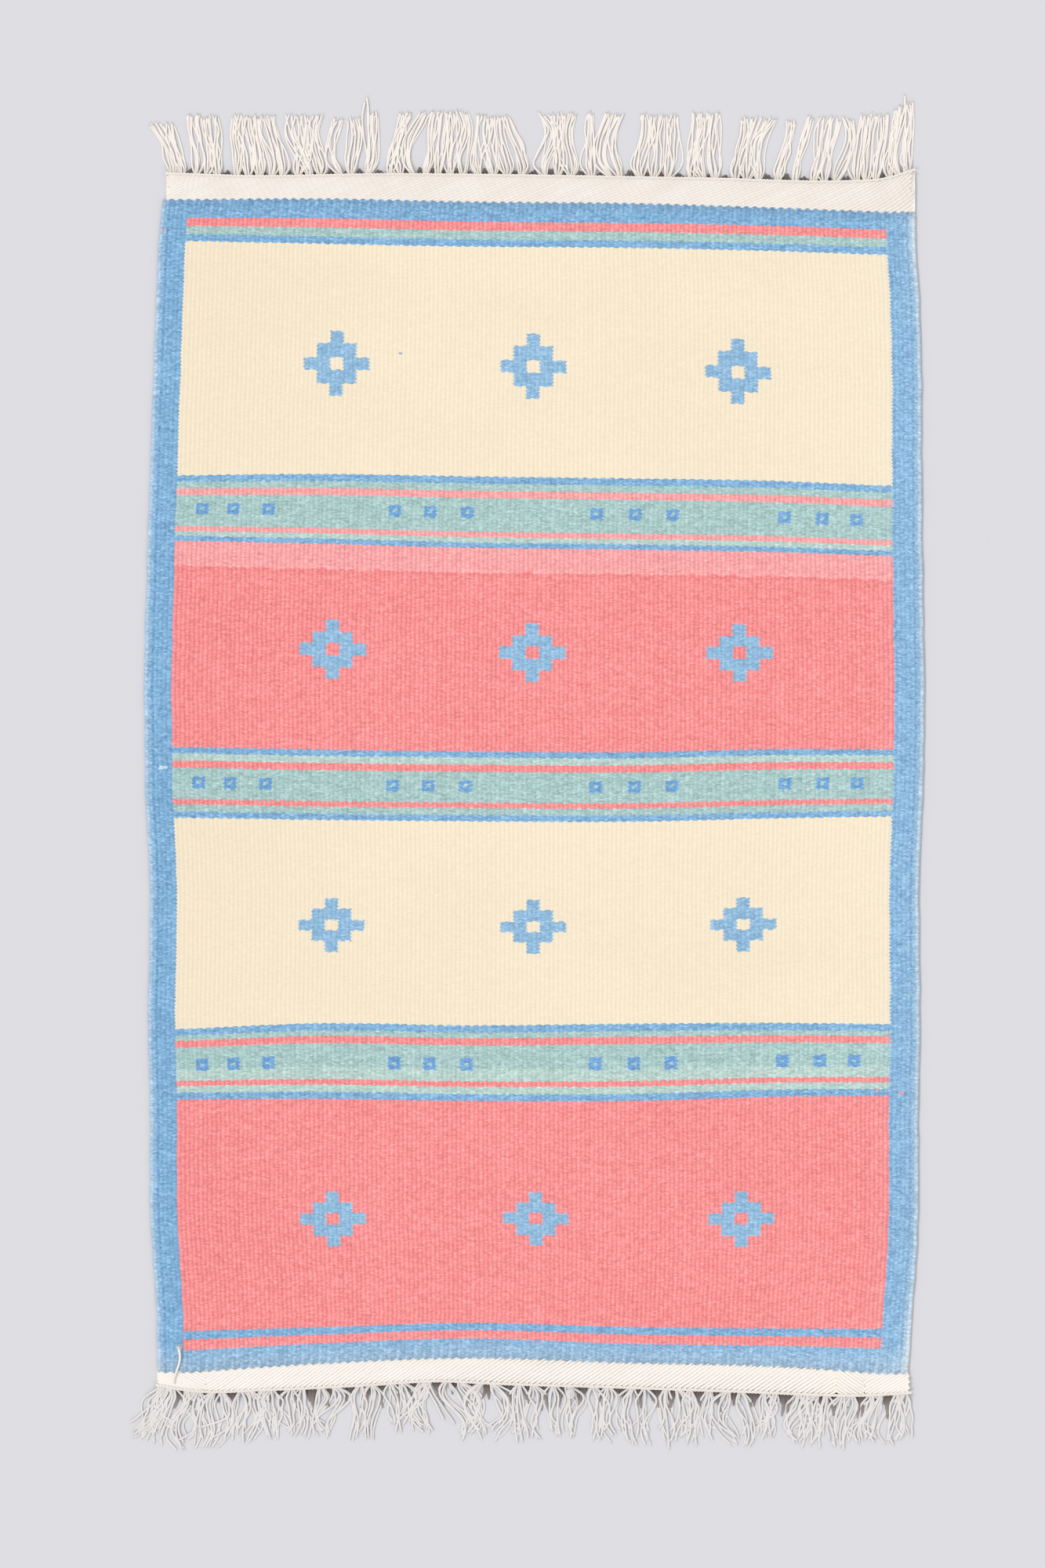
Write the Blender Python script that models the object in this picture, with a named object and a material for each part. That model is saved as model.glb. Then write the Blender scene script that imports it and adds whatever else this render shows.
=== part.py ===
"""A small flat-woven kilim rug that lies on the ground: ribbed cloth, plaited headings and knotted fringe.

Metres, +Z up. X runs across the width and Y along the length. Everything rests at z = 0, and the
middle of the rug's underside is the origin. The tables below are in millimetres.
"""

import random
from collections import namedtuple

import bmesh
import bpy

MM = 0.001
SEED = 7
GAP = 0.3 * MM

# The cloth: each rib is one bundle of warp threads that the weft wraps
RIBS = 173
RIB_CREST = 3.0 * MM
RIB_VALLEY = 2.5 * MM
SELVEDGE_HEIGHT = 2.1 * MM

# The plaited headings
HEADING_CREST = 2.4 * MM
HEADING_EDGE = 1.9 * MM
HEADING_ROWS = 4

# The edge cords that hold the fringe, and the fringe's locks, each a few strands thick
CORD_WIDTH = 2.0 * MM
CORD_HEIGHT = 2.0 * MM
LOCKS_IN_A_BUNDLE = 3
WIDE_GROUP = 3
LOCK_ROOT_WIDTH = 1.35 * MM
LOCK_ROOT_PITCH = 1.75 * MM
LOCK_WIDTH = 2.5 * MM
LOCK_HEIGHT = 1.8 * MM
LOCK_CLEARANCE = 0.5 * MM
TIP_UNEVENNESS = 1.2 * MM

# The loose warp end on the near left corner
STRAY_RADIUS = 0.9 * MM

Selvedge = namedtuple("Selvedge", "y left right")
SELVEDGES = [
    Selvedge(448, -286.0, 293.0),
    Selvedge(325, -292.6, 298.0),
    Selvedge(144, -298.7, 299.3),
    Selvedge(30, -300.0, 300.0),
    Selvedge(-68, -296.0, 296.3),
    Selvedge(-188, -297.3, 297.0),
    Selvedge(-330, -295.3, 295.7),
    Selvedge(-400, -291.0, 291.5),
    Selvedge(-452, -290.0, 288.0),
]

# How far each end of the cloth reaches along Y, across the width
Edge = namedtuple("Edge", "x y")
CLOTH_FAR_END = [
    Edge(-286, 448.0),
    Edge(-230, 451.0),
    Edge(-110, 449.0),
    Edge(11, 447.5),
    Edge(132, 445.0),
    Edge(250, 441.0),
    Edge(293, 439.5),
]
CLOTH_NEAR_END = [
    Edge(-290, -450.5),
    Edge(-264, -452.0),
    Edge(-230, -448.5),
    Edge(-110, -443.5),
    Edge(-50, -441.5),
    Edge(11, -446.0),
    Edge(132, -447.0),
    Edge(250, -451.5),
    Edge(288, -454.0),
]

# The middle line of each edge cord
CORD_FAR = [
    Edge(-283.0, 469.5),
    Edge(-230.0, 467.5),
    Edge(-110.0, 468.7),
    Edge(11.0, 467.5),
    Edge(132.0, 465.4),
    Edge(250.0, 463.6),
    Edge(266.0, 464.5),
    Edge(293.0, 472.5),
]
CORD_NEAR = [
    Edge(-290.5, -462.0),
    Edge(-266.0, -466.3),
    Edge(-200.0, -465.5),
    Edge(-125.0, -462.0),
    Edge(-75.0, -459.0),
    Edge(-30.0, -461.0),
    Edge(60.0, -463.7),
    Edge(162.0, -467.3),
    Edge(266.0, -469.7),
    Edge(290.0, -468.0),
]

# Where the fringe gathers: the roots and the tips of each group, its length and its bundles
Group = namedtuple("Group", "root_from root_to tip_from tip_to length bundles")
FRINGE_FAR = [
    Group(-281.5, -267.3, -298.0, -275.5, 40, 2),
    Group(-263.6, -240.1, -268.5, -242.0, 47, 3),
    Group(-232.8, -189.4, -234.5, -199.0, 48, 5),
    Group(-186.3, -159.2, -192.5, -161.5, 48, 3),
    Group(-152.5, -137.4, -158.0, -132.5, 45, 2),
    Group(-130.8, -124.7, -130.0, -118.5, 49, 1),
    Group(-114.5, -100.0, -105.5, -94.0, 48, 2),
    Group(-97.5, -50.4, -89.0, -49.5, 50, 5),
    Group(-48.0, -4.5, -45.0, -18.0, 47, 4),
    Group(2.7, 33.5, 2.0, 33.5, 50, 3),
    Group(40.8, 47.4, 39.0, 46.5, 51, 1),
    Group(54.7, 69.8, 53.5, 70.0, 50, 2),
    Group(76.4, 107.8, 80.5, 112.0, 50, 3),
    Group(116.3, 143.4, 121.0, 144.0, 52, 3),
    Group(150.7, 176.7, 158.5, 188.0, 49, 3),
    Group(184.5, 190.6, 193.0, 203.0, 48, 1),
    Group(197.8, 203.8, 210.0, 215.5, 51, 1),
    Group(210.5, 236.5, 218.5, 246.5, 51, 3),
    Group(244.9, 266.1, 251.0, 273.5, 53, 3),
    Group(270.3, 290.8, 276.5, 292.5, 55, 3),
]
FRINGE_NEAR = [
    Group(-290.0, -276.5, -309.5, -286.0, 44, 3),
    Group(-271.0, -254.5, -277.5, -258.0, 47, 2),
    Group(-250.5, -236.5, -256.5, -242.0, 45, 2),
    Group(-228.5, -216.0, -234.5, -216.0, 40, 2),
    Group(-211.0, -199.0, -207.5, -195.5, 39, 2),
    Group(-191.0, -173.5, -188.5, -172.5, 39, 2),
    Group(-170.0, -148.5, -170.5, -155.5, 40, 2),
    Group(-138.5, -120.5, -143.5, -122.5, 44, 2),
    Group(-114.5, -97.5, -109.5, -98.5, 39, 2),
    Group(-90.0, -77.5, -91.5, -80.5, 43, 2),
    Group(-71.5, -52.5, -57.5, -47.0, 46, 2),
    Group(-44.5, -28.0, -44.5, -25.0, 46, 2),
    Group(-16.5, 4.0, -17.5, 5.0, 46, 2),
    Group(9.5, 30.0, 9.5, 33.0, 42, 2),
    Group(40.0, 62.5, 42.5, 63.0, 45, 2),
    Group(71.0, 89.5, 69.0, 93.0, 44, 2),
    Group(97.0, 124.0, 99.5, 126.0, 46, 3),
    Group(132.0, 137.0, 128.5, 139.0, 41, 1),
    Group(143.5, 164.5, 149.5, 169.5, 43, 2),
    Group(173.5, 189.0, 172.5, 186.0, 36, 2),
    Group(199.5, 227.5, 195.0, 222.0, 42, 4),
    Group(233.0, 248.0, 226.5, 243.0, 43, 2),
    Group(256.0, 269.5, 247.0, 263.0, 40, 2),
    Group(276.0, 288.5, 268.0, 289.0, 41, 2),
]

# How far along a lock each of its bends is, and how much of its lean it has by then
Bend = namedtuple("Bend", "along lean")
BENDS = [Bend(0.30, 0.15), Bend(0.65, 0.65), Bend(1.0, 1.0)]

# The route of the loose end over the heading and onto the cloth
Via = namedtuple("Via", "x y z")
STRAY_ROUTE = [
    Via(-276.5, -461.5, 3.6),
    Via(-277.0, -457.0, 3.8),
    Via(-275.5, -451.0, 4.2),
    Via(-273.0, -444.0, 4.2),
    Via(-271.0, -438.0, 4.2),
    Via(-270.5, -432.5, 4.2),
]

CLOTH_COLOUR = (0.93, 0.70, 0.60)
HEADING_COLOUR = (0.90, 0.85, 0.78)
FRINGE_COLOUR = (0.88, 0.83, 0.75)


def clear_scene():
    for old in list(bpy.data.objects):
        bpy.data.objects.remove(old)


def between(low, high, share):
    return low + (high - low) * share


def follow(table, key, column, at):
    """The value of a column at a place between a table's rows, in metres."""
    rows = sorted(table, key=lambda row: getattr(row, key))
    at = at / MM
    for low, high in zip(rows, rows[1:]):
        if at <= getattr(high, key):
            break
    span = getattr(high, key) - getattr(low, key)
    share = min(max((at - getattr(low, key)) / span, 0.0), 1.0)
    return between(getattr(low, column), getattr(high, column), share) * MM


def material(name, colour, roughness):
    made = bpy.data.materials.new(name)
    made.use_nodes = True
    shader = made.node_tree.nodes["Principled BSDF"]
    shader.inputs["Base Color"].default_value = (*colour, 1.0)
    shader.inputs["Roughness"].default_value = roughness
    shader.inputs["Metallic"].default_value = 0.0
    return made


def add_object(name, data, colour, collection):
    data.materials.append(material(name, colour, roughness=0.9))
    made = bpy.data.objects.new(name, data)
    collection.objects.link(made)
    return made


def slab(columns, rows, place):
    """A closed slab over a grid. place(column, row, top) gives each corner, with top True or False."""
    bm = bmesh.new()
    bmesh.ops.create_grid(bm, x_segments=columns, y_segments=rows, size=0.5)
    raised = bmesh.ops.extrude_face_region(bm, geom=bm.faces[:])["geom"]
    top = {item for item in raised if isinstance(item, bmesh.types.BMVert)}
    for vert in bm.verts:
        column = round((vert.co.x + 0.5) * columns)
        row = round((vert.co.y + 0.5) * rows)
        vert.co = place(column, row, vert in top)
    bmesh.ops.recalc_face_normals(bm, faces=bm.faces[:])
    return bm


def finish_mesh(name, bm, colour, collection):
    mesh = bpy.data.meshes.new(name)
    bm.to_mesh(mesh)
    bm.free()
    return add_object(name, mesh, colour, collection)


def make_cloth(collection):
    """One sheet that follows the selvedges and both ends, with a ridge along each rib."""
    columns = 2 * RIBS
    rows = len(SELVEDGES) - 1
    stations = sorted(SELVEDGES, key=lambda row: row.y)

    def place(column, row, top):
        across = column / columns
        x = between(stations[row].left, stations[row].right, across) * MM
        far = follow(CLOTH_FAR_END, "x", "y", x)
        near = follow(CLOTH_NEAR_END, "x", "y", x)
        along = (stations[row].y - stations[0].y) / (stations[-1].y - stations[0].y)
        height = RIB_CREST if column % 2 else RIB_VALLEY
        if column in (0, columns):
            height = SELVEDGE_HEIGHT
        return (x, between(near, far, along), height if top else 0.0)

    return finish_mesh("cloth", slab(columns, rows, place), CLOTH_COLOUR, collection)


def make_heading(name, cloth_end, cord, side, collection):
    """A plaited band between the cloth and its edge cord. side is 1 at the far end and -1 at the near."""
    left = max(cloth_end[0].x, cord[0].x)
    right = min(cloth_end[-1].x, cord[-1].x)
    inside = {point.x for point in [*cloth_end, *cord] if left < point.x < right}
    columns = [left, *sorted(inside), right]

    def place(column, row, top):
        x = columns[column] * MM
        inner = follow(cloth_end, "x", "y", x) + side * GAP
        outer = follow(cord, "x", "y", x) - side * (CORD_WIDTH / 2 + GAP)
        height = HEADING_EDGE if row in (0, HEADING_ROWS) else HEADING_CREST
        return (x, between(inner, outer, row / HEADING_ROWS), height if top else 0.0)

    return finish_mesh(name, slab(len(columns) - 1, HEADING_ROWS, place), HEADING_COLOUR, collection)


def lock_paths(groups):
    """The x of each lock at its root and at each bend, with its length, from left to right."""
    paths = []
    for group in groups:
        count = LOCKS_IN_A_BUNDLE * group.bundles
        # The last bundle of a wide group is thinner
        if group.bundles >= WIDE_GROUP:
            count -= 1
        for lock in range(count):
            bundle = lock // LOCKS_IN_A_BUNDLE
            held = min(LOCKS_IN_A_BUNDLE, count - bundle * LOCKS_IN_A_BUNDLE)
            middle = between(group.root_from, group.root_to, (bundle + 0.5) / group.bundles) * MM
            root = middle + (lock % LOCKS_IN_A_BUNDLE - (held - 1) / 2) * LOCK_ROOT_PITCH
            even = between(group.root_from, group.root_to, (lock + 0.5) / count) * MM
            tip = between(group.tip_from, group.tip_to, (lock + 0.5) / count) * MM
            bends = [between(even, tip, bend.lean) for bend in BENDS]
            paths.append((root, bends, group.length * MM))
    return paths


def widths_at(places):
    """How wide each lock may be, so that it stays clear of its neighbours."""
    steps = [after - before for before, after in zip(places, places[1:])]
    room = [min(pair) for pair in zip([LOCK_WIDTH * 2, *steps], [*steps, LOCK_WIDTH * 2])]
    return [min(LOCK_WIDTH, space - LOCK_CLEARANCE) for space in room]


def make_fringe(name, groups, cord, side, collection):
    """An edge cord with its locks drawn out of its outer side, each lying level on the ground."""
    paths = lock_paths(groups)
    columns = [cord[0].x * MM]
    for root, _, _ in paths:
        columns += [root - LOCK_ROOT_WIDTH / 2, root + LOCK_ROOT_WIDTH / 2]
    columns.append(cord[-1].x * MM)

    def place(column, row, top):
        x = columns[column]
        y = follow(cord, "x", "y", x) + (row - 0.5) * CORD_WIDTH
        return (x, y, CORD_HEIGHT if top else 0.0)

    bm = slab(len(columns) - 1, 1, place)
    outer = [face for face in bm.faces if face.normal.y * side > 0.5]
    outer.sort(key=lambda face: face.calc_center_median().x)
    tips = outer[1::2]
    chance = random.Random(SEED)
    uneven = [chance.uniform(-TIP_UNEVENNESS, TIP_UNEVENNESS) for _ in paths]
    for step, bend in enumerate(BENDS):
        tips = bmesh.ops.extrude_discrete_faces(bm, faces=tips)["faces"]
        tips.sort(key=lambda face: face.calc_center_median().x)
        places = [bends[step] for _, bends, _ in paths]
        widths = widths_at(places)
        for tip, (root, _, length), x, width, extra in zip(tips, paths, places, widths, uneven):
            reach = length * bend.along + (extra if bend is BENDS[-1] else 0.0)
            y = follow(cord, "x", "y", root) + side * (CORD_WIDTH / 2 + reach)
            middle = tip.calc_center_median()
            for vert in tip.verts:
                across = width / 2 if vert.co.x > middle.x else -width / 2
                vert.co = (x + across, y, LOCK_HEIGHT if vert.co.z > middle.z else 0.0)
    return finish_mesh(name, bm, FRINGE_COLOUR, collection)


def make_stray_end(collection):
    """A loose warp end that lies over the heading and onto the cloth."""
    curve = bpy.data.curves.new("stray_end", "CURVE")
    curve.dimensions = "3D"
    curve.bevel_depth = STRAY_RADIUS
    curve.bevel_resolution = 1
    curve.use_fill_caps = True
    spline = curve.splines.new("POLY")
    spline.points.add(len(STRAY_ROUTE) - 1)
    for point, via in zip(spline.points, STRAY_ROUTE):
        point.co = (via.x * MM, via.y * MM, via.z * MM, 1.0)
    return add_object("stray_end", curve, FRINGE_COLOUR, collection)


def centre_on_origin(pieces):
    """Moves all the pieces together, so that the middle of their underside is the origin."""
    meshes = [piece.data for piece in pieces if piece.type == "MESH"]
    points = [vert.co for mesh in meshes for vert in mesh.vertices]
    middle_x = (min(point.x for point in points) + max(point.x for point in points)) / 2
    middle_y = (min(point.y for point in points) + max(point.y for point in points)) / 2
    for piece in pieces:
        piece.location = (-middle_x, -middle_y, 0.0)


def main():
    clear_scene()
    collection = bpy.data.collections.new("kilim_rug")
    bpy.context.scene.collection.children.link(collection)
    pieces = [
        make_cloth(collection),
        make_heading("heading_far", CLOTH_FAR_END, CORD_FAR, 1, collection),
        make_heading("heading_near", CLOTH_NEAR_END, CORD_NEAR, -1, collection),
        make_fringe("fringe_far", FRINGE_FAR, CORD_FAR, 1, collection),
        make_fringe("fringe_near", FRINGE_NEAR, CORD_NEAR, -1, collection),
        make_stray_end(collection),
    ]
    centre_on_origin(pieces)


main()
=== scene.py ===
# %% [markdown]
# # A small kilim rug, seen from above
# The real rug is flat-woven cotton: white warp threads run its length, and coloured weft is beaten down
# over them until no warp shows. Each end is closed by a plaited heading, and the warp ends hang out
# of it as a fringe. The solids come first, as a fixed frame, and the looks are built around them.

# %% Load the frame
import math
from collections import namedtuple

import bmesh
import bpy
import numpy as np
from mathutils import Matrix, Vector


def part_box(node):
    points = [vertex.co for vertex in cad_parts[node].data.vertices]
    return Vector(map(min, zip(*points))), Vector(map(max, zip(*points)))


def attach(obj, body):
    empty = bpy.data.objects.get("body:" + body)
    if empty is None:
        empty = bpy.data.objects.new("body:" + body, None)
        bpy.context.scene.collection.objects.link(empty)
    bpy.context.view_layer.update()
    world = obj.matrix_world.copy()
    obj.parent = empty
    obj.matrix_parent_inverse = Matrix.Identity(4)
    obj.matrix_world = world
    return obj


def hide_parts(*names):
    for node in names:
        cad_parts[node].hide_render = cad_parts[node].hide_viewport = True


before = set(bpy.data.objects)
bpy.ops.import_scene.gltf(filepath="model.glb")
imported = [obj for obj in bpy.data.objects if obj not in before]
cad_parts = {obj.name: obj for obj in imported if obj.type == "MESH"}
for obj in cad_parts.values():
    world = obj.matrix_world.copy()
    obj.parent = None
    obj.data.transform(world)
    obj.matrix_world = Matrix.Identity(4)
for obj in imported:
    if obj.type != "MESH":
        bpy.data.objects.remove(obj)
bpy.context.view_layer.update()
scene = bpy.context.scene
print("pieces in the frame:", sorted(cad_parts))

# %% [markdown]
# The rug was measured from its own centre line, in millimetres. The frame puts the origin under the
# middle of the whole rug, fringe and all, so one shift carries every measure into the frame.

# %% Where the rug lies
MM = 0.001
WIDEST_LEFT = -300.0
FURTHEST_CLOTH = 451.0
cloth_low, cloth_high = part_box("cloth")
SHIFT_X = cloth_low.x - WIDEST_LEFT * MM
SHIFT_Y = cloth_high.y - FURTHEST_CLOTH * MM


def place(x, y, z=0.0):
    """A point of the rug, given in millimetres from its centre line, as a place in the frame."""
    return Vector((x * MM + SHIFT_X, y * MM + SHIFT_Y, z * MM))


print("shift into the frame, mm:", round(SHIFT_X / MM, 2), round(SHIFT_Y / MM, 2))

# %% [markdown]
# ## Camera, floor and light
# The picture looks straight down, so the camera has no tilt. Its height follows from how much of the
# floor the picture covers. A real studio would hang two large soft boxes on the left, one towards
# each end: two wide suns give the same soft shadow along the right edge and in the roots of both
# fringes, and an even world fills it.

# %% Camera
PICTURE_HEIGHT = 1208.0
PICTURE_MIDDLE_X = -9.0
LENS = 50.0
SENSOR = 36.0

camera_data = bpy.data.cameras.new("camera_above")
camera_data.lens = LENS
camera_data.sensor_width = SENSOR
camera = bpy.data.objects.new("camera_above", camera_data)
camera.location = place(PICTURE_MIDDLE_X, 0.0, PICTURE_HEIGHT * LENS / SENSOR)
scene.collection.objects.link(camera)
scene.camera = camera
scene.view_settings.view_transform = "Standard"
print("camera height, m:", round(camera.location.z, 3))

# %% Light
SUN_STRENGTH = 0.80
SUN_SOFTNESS = math.radians(16)
SUN_LEAN = math.radians(48)
SUN_TURNS = {"soft_key_far": math.radians(-38), "soft_key_near": math.radians(38)}
FILL_STRENGTH = 1.0

for name, turn in SUN_TURNS.items():
    sun_data = bpy.data.lights.new(name, "SUN")
    sun_data.energy = SUN_STRENGTH
    sun_data.angle = SUN_SOFTNESS
    sun = bpy.data.objects.new(name, sun_data)
    sun.rotation_euler = (0.0, -SUN_LEAN, turn)
    scene.collection.objects.link(sun)

world = bpy.data.worlds.new("even_fill")
world.use_nodes = True
world.node_tree.nodes["Background"].inputs["Color"].default_value = (1.0, 1.0, 1.0, 1.0)
world.node_tree.nodes["Background"].inputs["Strength"].default_value = FILL_STRENGTH
scene.world = world
print("sun and fill:", SUN_STRENGTH, FILL_STRENGTH)

# %% [markdown]
# ## Small helpers
# Colours are given on an 8-bit scale and turned into the linear values that a shader wants.
# The node helpers keep the trees short: each call adds one node and hands back its output, so a
# formula reads from the inside out, as it would on paper.

# %% Colour and node helpers
LIGHT_LEVEL = 1.34


def seen(red, green, blue):
    """The surface colour that looks like this 8-bit colour under the scene's light."""
    channels = []
    for value in (red, green, blue):
        share = value / 255
        linear = share / 12.92 if share <= 0.04045 else ((share + 0.055) / 1.055) ** 2.4
        channels.append(linear / LIGHT_LEVEL)
    return tuple(channels)


def fill(tree, node, values):
    """Links or sets a node's inputs in order, and skips those given as None."""
    sockets = [socket for socket in node.inputs if socket.enabled]
    for socket, value in zip(sockets, values):
        if value is None:
            continue
        if isinstance(value, bpy.types.NodeSocket):
            tree.links.new(value, socket)
        else:
            socket.default_value = value
    return node


def math_node(tree, operation, *values, clamp=False):
    node = tree.nodes.new("ShaderNodeMath")
    node.operation = operation
    node.use_clamp = clamp
    return fill(tree, node, values).outputs[0]


def plus(tree, *values, **options):
    return math_node(tree, "ADD", *values, **options)


def minus(tree, *values, **options):
    return math_node(tree, "SUBTRACT", *values, **options)


def times(tree, *values, **options):
    return math_node(tree, "MULTIPLY", *values, **options)


def scale_and_add(tree, value, factor, addend):
    return math_node(tree, "MULTIPLY_ADD", value, factor, addend)


def split(tree, vector):
    node = tree.nodes.new("ShaderNodeSeparateXYZ")
    return fill(tree, node, [vector]).outputs


def combine(tree, x=0.0, y=0.0, z=0.0):
    node = tree.nodes.new("ShaderNodeCombineXYZ")
    return fill(tree, node, [x, y, z]).outputs[0]


def mix_colour(tree, share, first, second, blend="MIX"):
    node = tree.nodes.new("ShaderNodeMix")
    node.data_type = "RGBA"
    node.blend_type = blend
    return fill(tree, node, [share, first, second]).outputs["Result"]


def map_range(tree, value, low, high, to_low, to_high, smooth=True):
    node = tree.nodes.new("ShaderNodeMapRange")
    node.interpolation_type = "SMOOTHSTEP" if smooth else "LINEAR"
    return fill(tree, node, [value, low, high, to_low, to_high]).outputs[0]


def noise(tree, vector, scale, detail=2.0):
    node = tree.nodes.new("ShaderNodeTexNoise")
    tree.links.new(vector, node.inputs["Vector"])
    node.inputs["Scale"].default_value = scale
    node.inputs["Detail"].default_value = detail
    return node.outputs[0]


def white_noise(tree, vector):
    node = tree.nodes.new("ShaderNodeTexWhiteNoise")
    tree.links.new(vector, node.inputs["Vector"])
    return node.outputs["Value"]


def opaque(colour):
    return (*colour, 1.0)


SOCKET_TYPES = {
    "value": "NodeSocketFloat",
    "whole": "NodeSocketInt",
    "vector": "NodeSocketVector",
    "colour": "NodeSocketColor",
    "geometry": "NodeSocketGeometry",
    "material": "NodeSocketMaterial",
}


def new_tree(name, kind, inputs, outputs):
    """A node tree with named sockets. Each input or output is a (name, socket kind) pair."""
    tree = bpy.data.node_groups.new(name, kind)
    for in_out, sockets in (("INPUT", inputs), ("OUTPUT", outputs)):
        for label, socket_kind in sockets:
            tree.interface.new_socket(label, in_out=in_out, socket_type=SOCKET_TYPES[socket_kind])
    given = tree.nodes.new("NodeGroupInput").outputs
    result = tree.nodes.new("NodeGroupOutput").inputs
    return tree, given, result


def use_group(tree, group, **values):
    """Puts a shared group into a material, with its inputs set by name."""
    node = tree.nodes.new("ShaderNodeGroup")
    node.node_tree = group
    for label, value in values.items():
        socket = node.inputs[label.replace("_", " ").capitalize()]
        if isinstance(value, bpy.types.NodeSocket):
            tree.links.new(value, socket)
        else:
            socket.default_value = value
    return node.outputs


print("a mid grey as a surface colour:", [round(channel, 3) for channel in seen(128, 128, 128)])

# %% [markdown]
# ## The floor
# The rug lies on a plain pale floor. It is only a stage, so it is one large flat face with a matt,
# very faintly cool finish.

# %% Floor
FLOOR_SIZE = 8.0
FLOOR_DROP = 0.05


def new_material(name, roughness):
    made = bpy.data.materials.new(name)
    made.use_nodes = True
    shader = made.node_tree.nodes["Principled BSDF"]
    shader.inputs["Roughness"].default_value = roughness
    return made, made.node_tree, shader


floor_material, _, floor_shader = new_material("pale_floor", roughness=1.0)
floor_shader.inputs["Base Color"].default_value = opaque(seen(223, 222, 227))
floor_shader.inputs["Specular IOR Level"].default_value = 0.0
bpy.ops.mesh.primitive_plane_add(size=FLOOR_SIZE, location=(0.0, 0.0, -FLOOR_DROP * MM))
floor = bpy.context.object
floor.name = "floor"
floor.data.materials.append(floor_material)
print("floor, m:", FLOOR_SIZE)

# %% [markdown]
# ## How the cloth lies
# No hand-woven rug is square. The selvedges swell and draw in, and each line of weft bows a little.
# So the cloth is measured the way a weaver would: the two edges at a few heights, and the weft
# lines where a colour changes, at a few places across. `woven` says how far along the straight cloth
# each line was woven, which is what the pattern follows. A smooth curve joins the measures.

# %% Measures of the cloth
RIBS = 173

Selvedge = namedtuple("Selvedge", "y left right")
SELVEDGES = [
    Selvedge(-452, -290.0, 288.0),
    Selvedge(-430, -290.2, 289.5),
    Selvedge(-400, -291.0, 291.5),
    Selvedge(-370, -293.2, 293.8),
    Selvedge(-330, -295.3, 295.7),
    Selvedge(-250, -295.7, 295.7),
    Selvedge(-188, -297.3, 297.0),
    Selvedge(-128, -296.2, 296.4),
    Selvedge(-68, -296.0, 296.3),
    Selvedge(-30, -298.3, 298.3),
    Selvedge(30, -300.0, 300.0),
    Selvedge(144, -298.7, 299.3),
    Selvedge(234, -295.8, 298.2),
    Selvedge(325, -292.6, 298.0),
    Selvedge(385, -290.4, 295.8),
    Selvedge(416, -289.0, 294.0),
    Selvedge(448, -286.0, 293.0),
]

ACROSS = (-264, -170, -49, 72, 192, 268)
Weft = namedtuple("Weft", "woven y")
WEFT_LINES = [
    Weft(-447.8, (-452.4, -446.0, -441.5, -445.1, -448.2, -453.6)),
    Weft(-431.6, (-435.8, -430.4, -426.4, -430.7, -432.2, -434.3)),
    Weft(-418.5, (-420.7, -418.6, -415.0, -418.0, -419.2, -419.2)),
    Weft(-242.2, (-242.5, -242.2, -244.0, -244.0, -240.4, -239.8)),
    Weft(-185.7, (-188.6, -184.5, -186.0, -184.8, -184.2, -185.1)),
    Weft(-26.8, (-25.7, -27.2, -28.4, -28.7, -26.0, -24.8)),
    Weft(26.4, (28.4, 26.6, 25.1, 24.5, 26.9, 26.6)),
    Weft(180.8, (186.6, 184.5, 181.2, 179.7, 177.6, 174.9)),
    Weft(235.4, (237.4, 238.4, 236.5, 234.9, 232.8, 229.5)),
    Weft(321.3, (323.7, 323.5, 321.8, 319.6, 315.2, 312.6)),
    Weft(412.7, (418.0, 415.6, 413.4, 412.5, 409.8, 407.1)),
    Weft(431.0, (434.9, 434.6, 431.9, 430.7, 428.5, 425.8)),
    Weft(446.0, (449.4, 450.0, 447.6, 446.4, 442.7, 439.7)),
]


def smooth(knots, values, at):
    """A smooth curve through the values, flat beyond the last knots."""
    knots, values = np.asarray(knots, float), np.asarray(values, float)
    at = np.clip(np.asarray(at, float), knots[0], knots[-1])
    slopes = np.gradient(values, knots)
    index = np.clip(np.searchsorted(knots, at) - 1, 0, len(knots) - 2)
    span = knots[index + 1] - knots[index]
    t = (at - knots[index]) / span
    low, high = values[index], values[index + 1]
    low_slope, high_slope = slopes[index] * span, slopes[index + 1] * span
    cubic = 2 * low - 2 * high + low_slope + high_slope
    square = -3 * low + 3 * high - 2 * low_slope - high_slope
    return low + t * (low_slope + t * (square + t * cubic))


def selvedge(side, y):
    return smooth([row.y for row in SELVEDGES], [getattr(row, side) for row in SELVEDGES], y)


def weft_y(woven, x):
    """How far along the rug a weft line lies, x millimetres from the centre line."""
    lines = np.array([smooth(ACROSS, line.y, x) for line in WEFT_LINES])
    return float(np.interp(woven, [line.woven for line in WEFT_LINES], lines))


WOVEN_NEAR = WEFT_LINES[0].woven
WOVEN_FAR = WEFT_LINES[-1].woven
print("straight length of the cloth, mm:", WOVEN_FAR - WOVEN_NEAR)

# %% [markdown]
# ## The cloth as a sheet
# The cloth is one closed sheet, about three millimetres thick. It starts as a flat grid with four
# columns to a rib, and extruding the grid gives it an underside. Two attributes go with every
# point: `weave` says which rib and which weft line it is on, so the pattern follows the cloth's own
# bends, and `side` says whether it is on the upper or the under face.

# %% Grid of the cloth
COLUMNS_PER_RIB = 4
CLOTH_ROWS = 68
END_SCALLOP = 0.75
EDGE_WANDER = 0.45


def new_object(name, data):
    made = bpy.data.objects.new(name, data)
    scene.collection.objects.link(made)
    return made


def wander(length, at, seed):
    """A slow random wave of about unit height, the same each run."""
    rng = np.random.default_rng(seed)
    knots = np.arange(-600.0, 601.0, length)
    return smooth(knots, rng.uniform(-1.0, 1.0, len(knots)), at)


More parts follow.
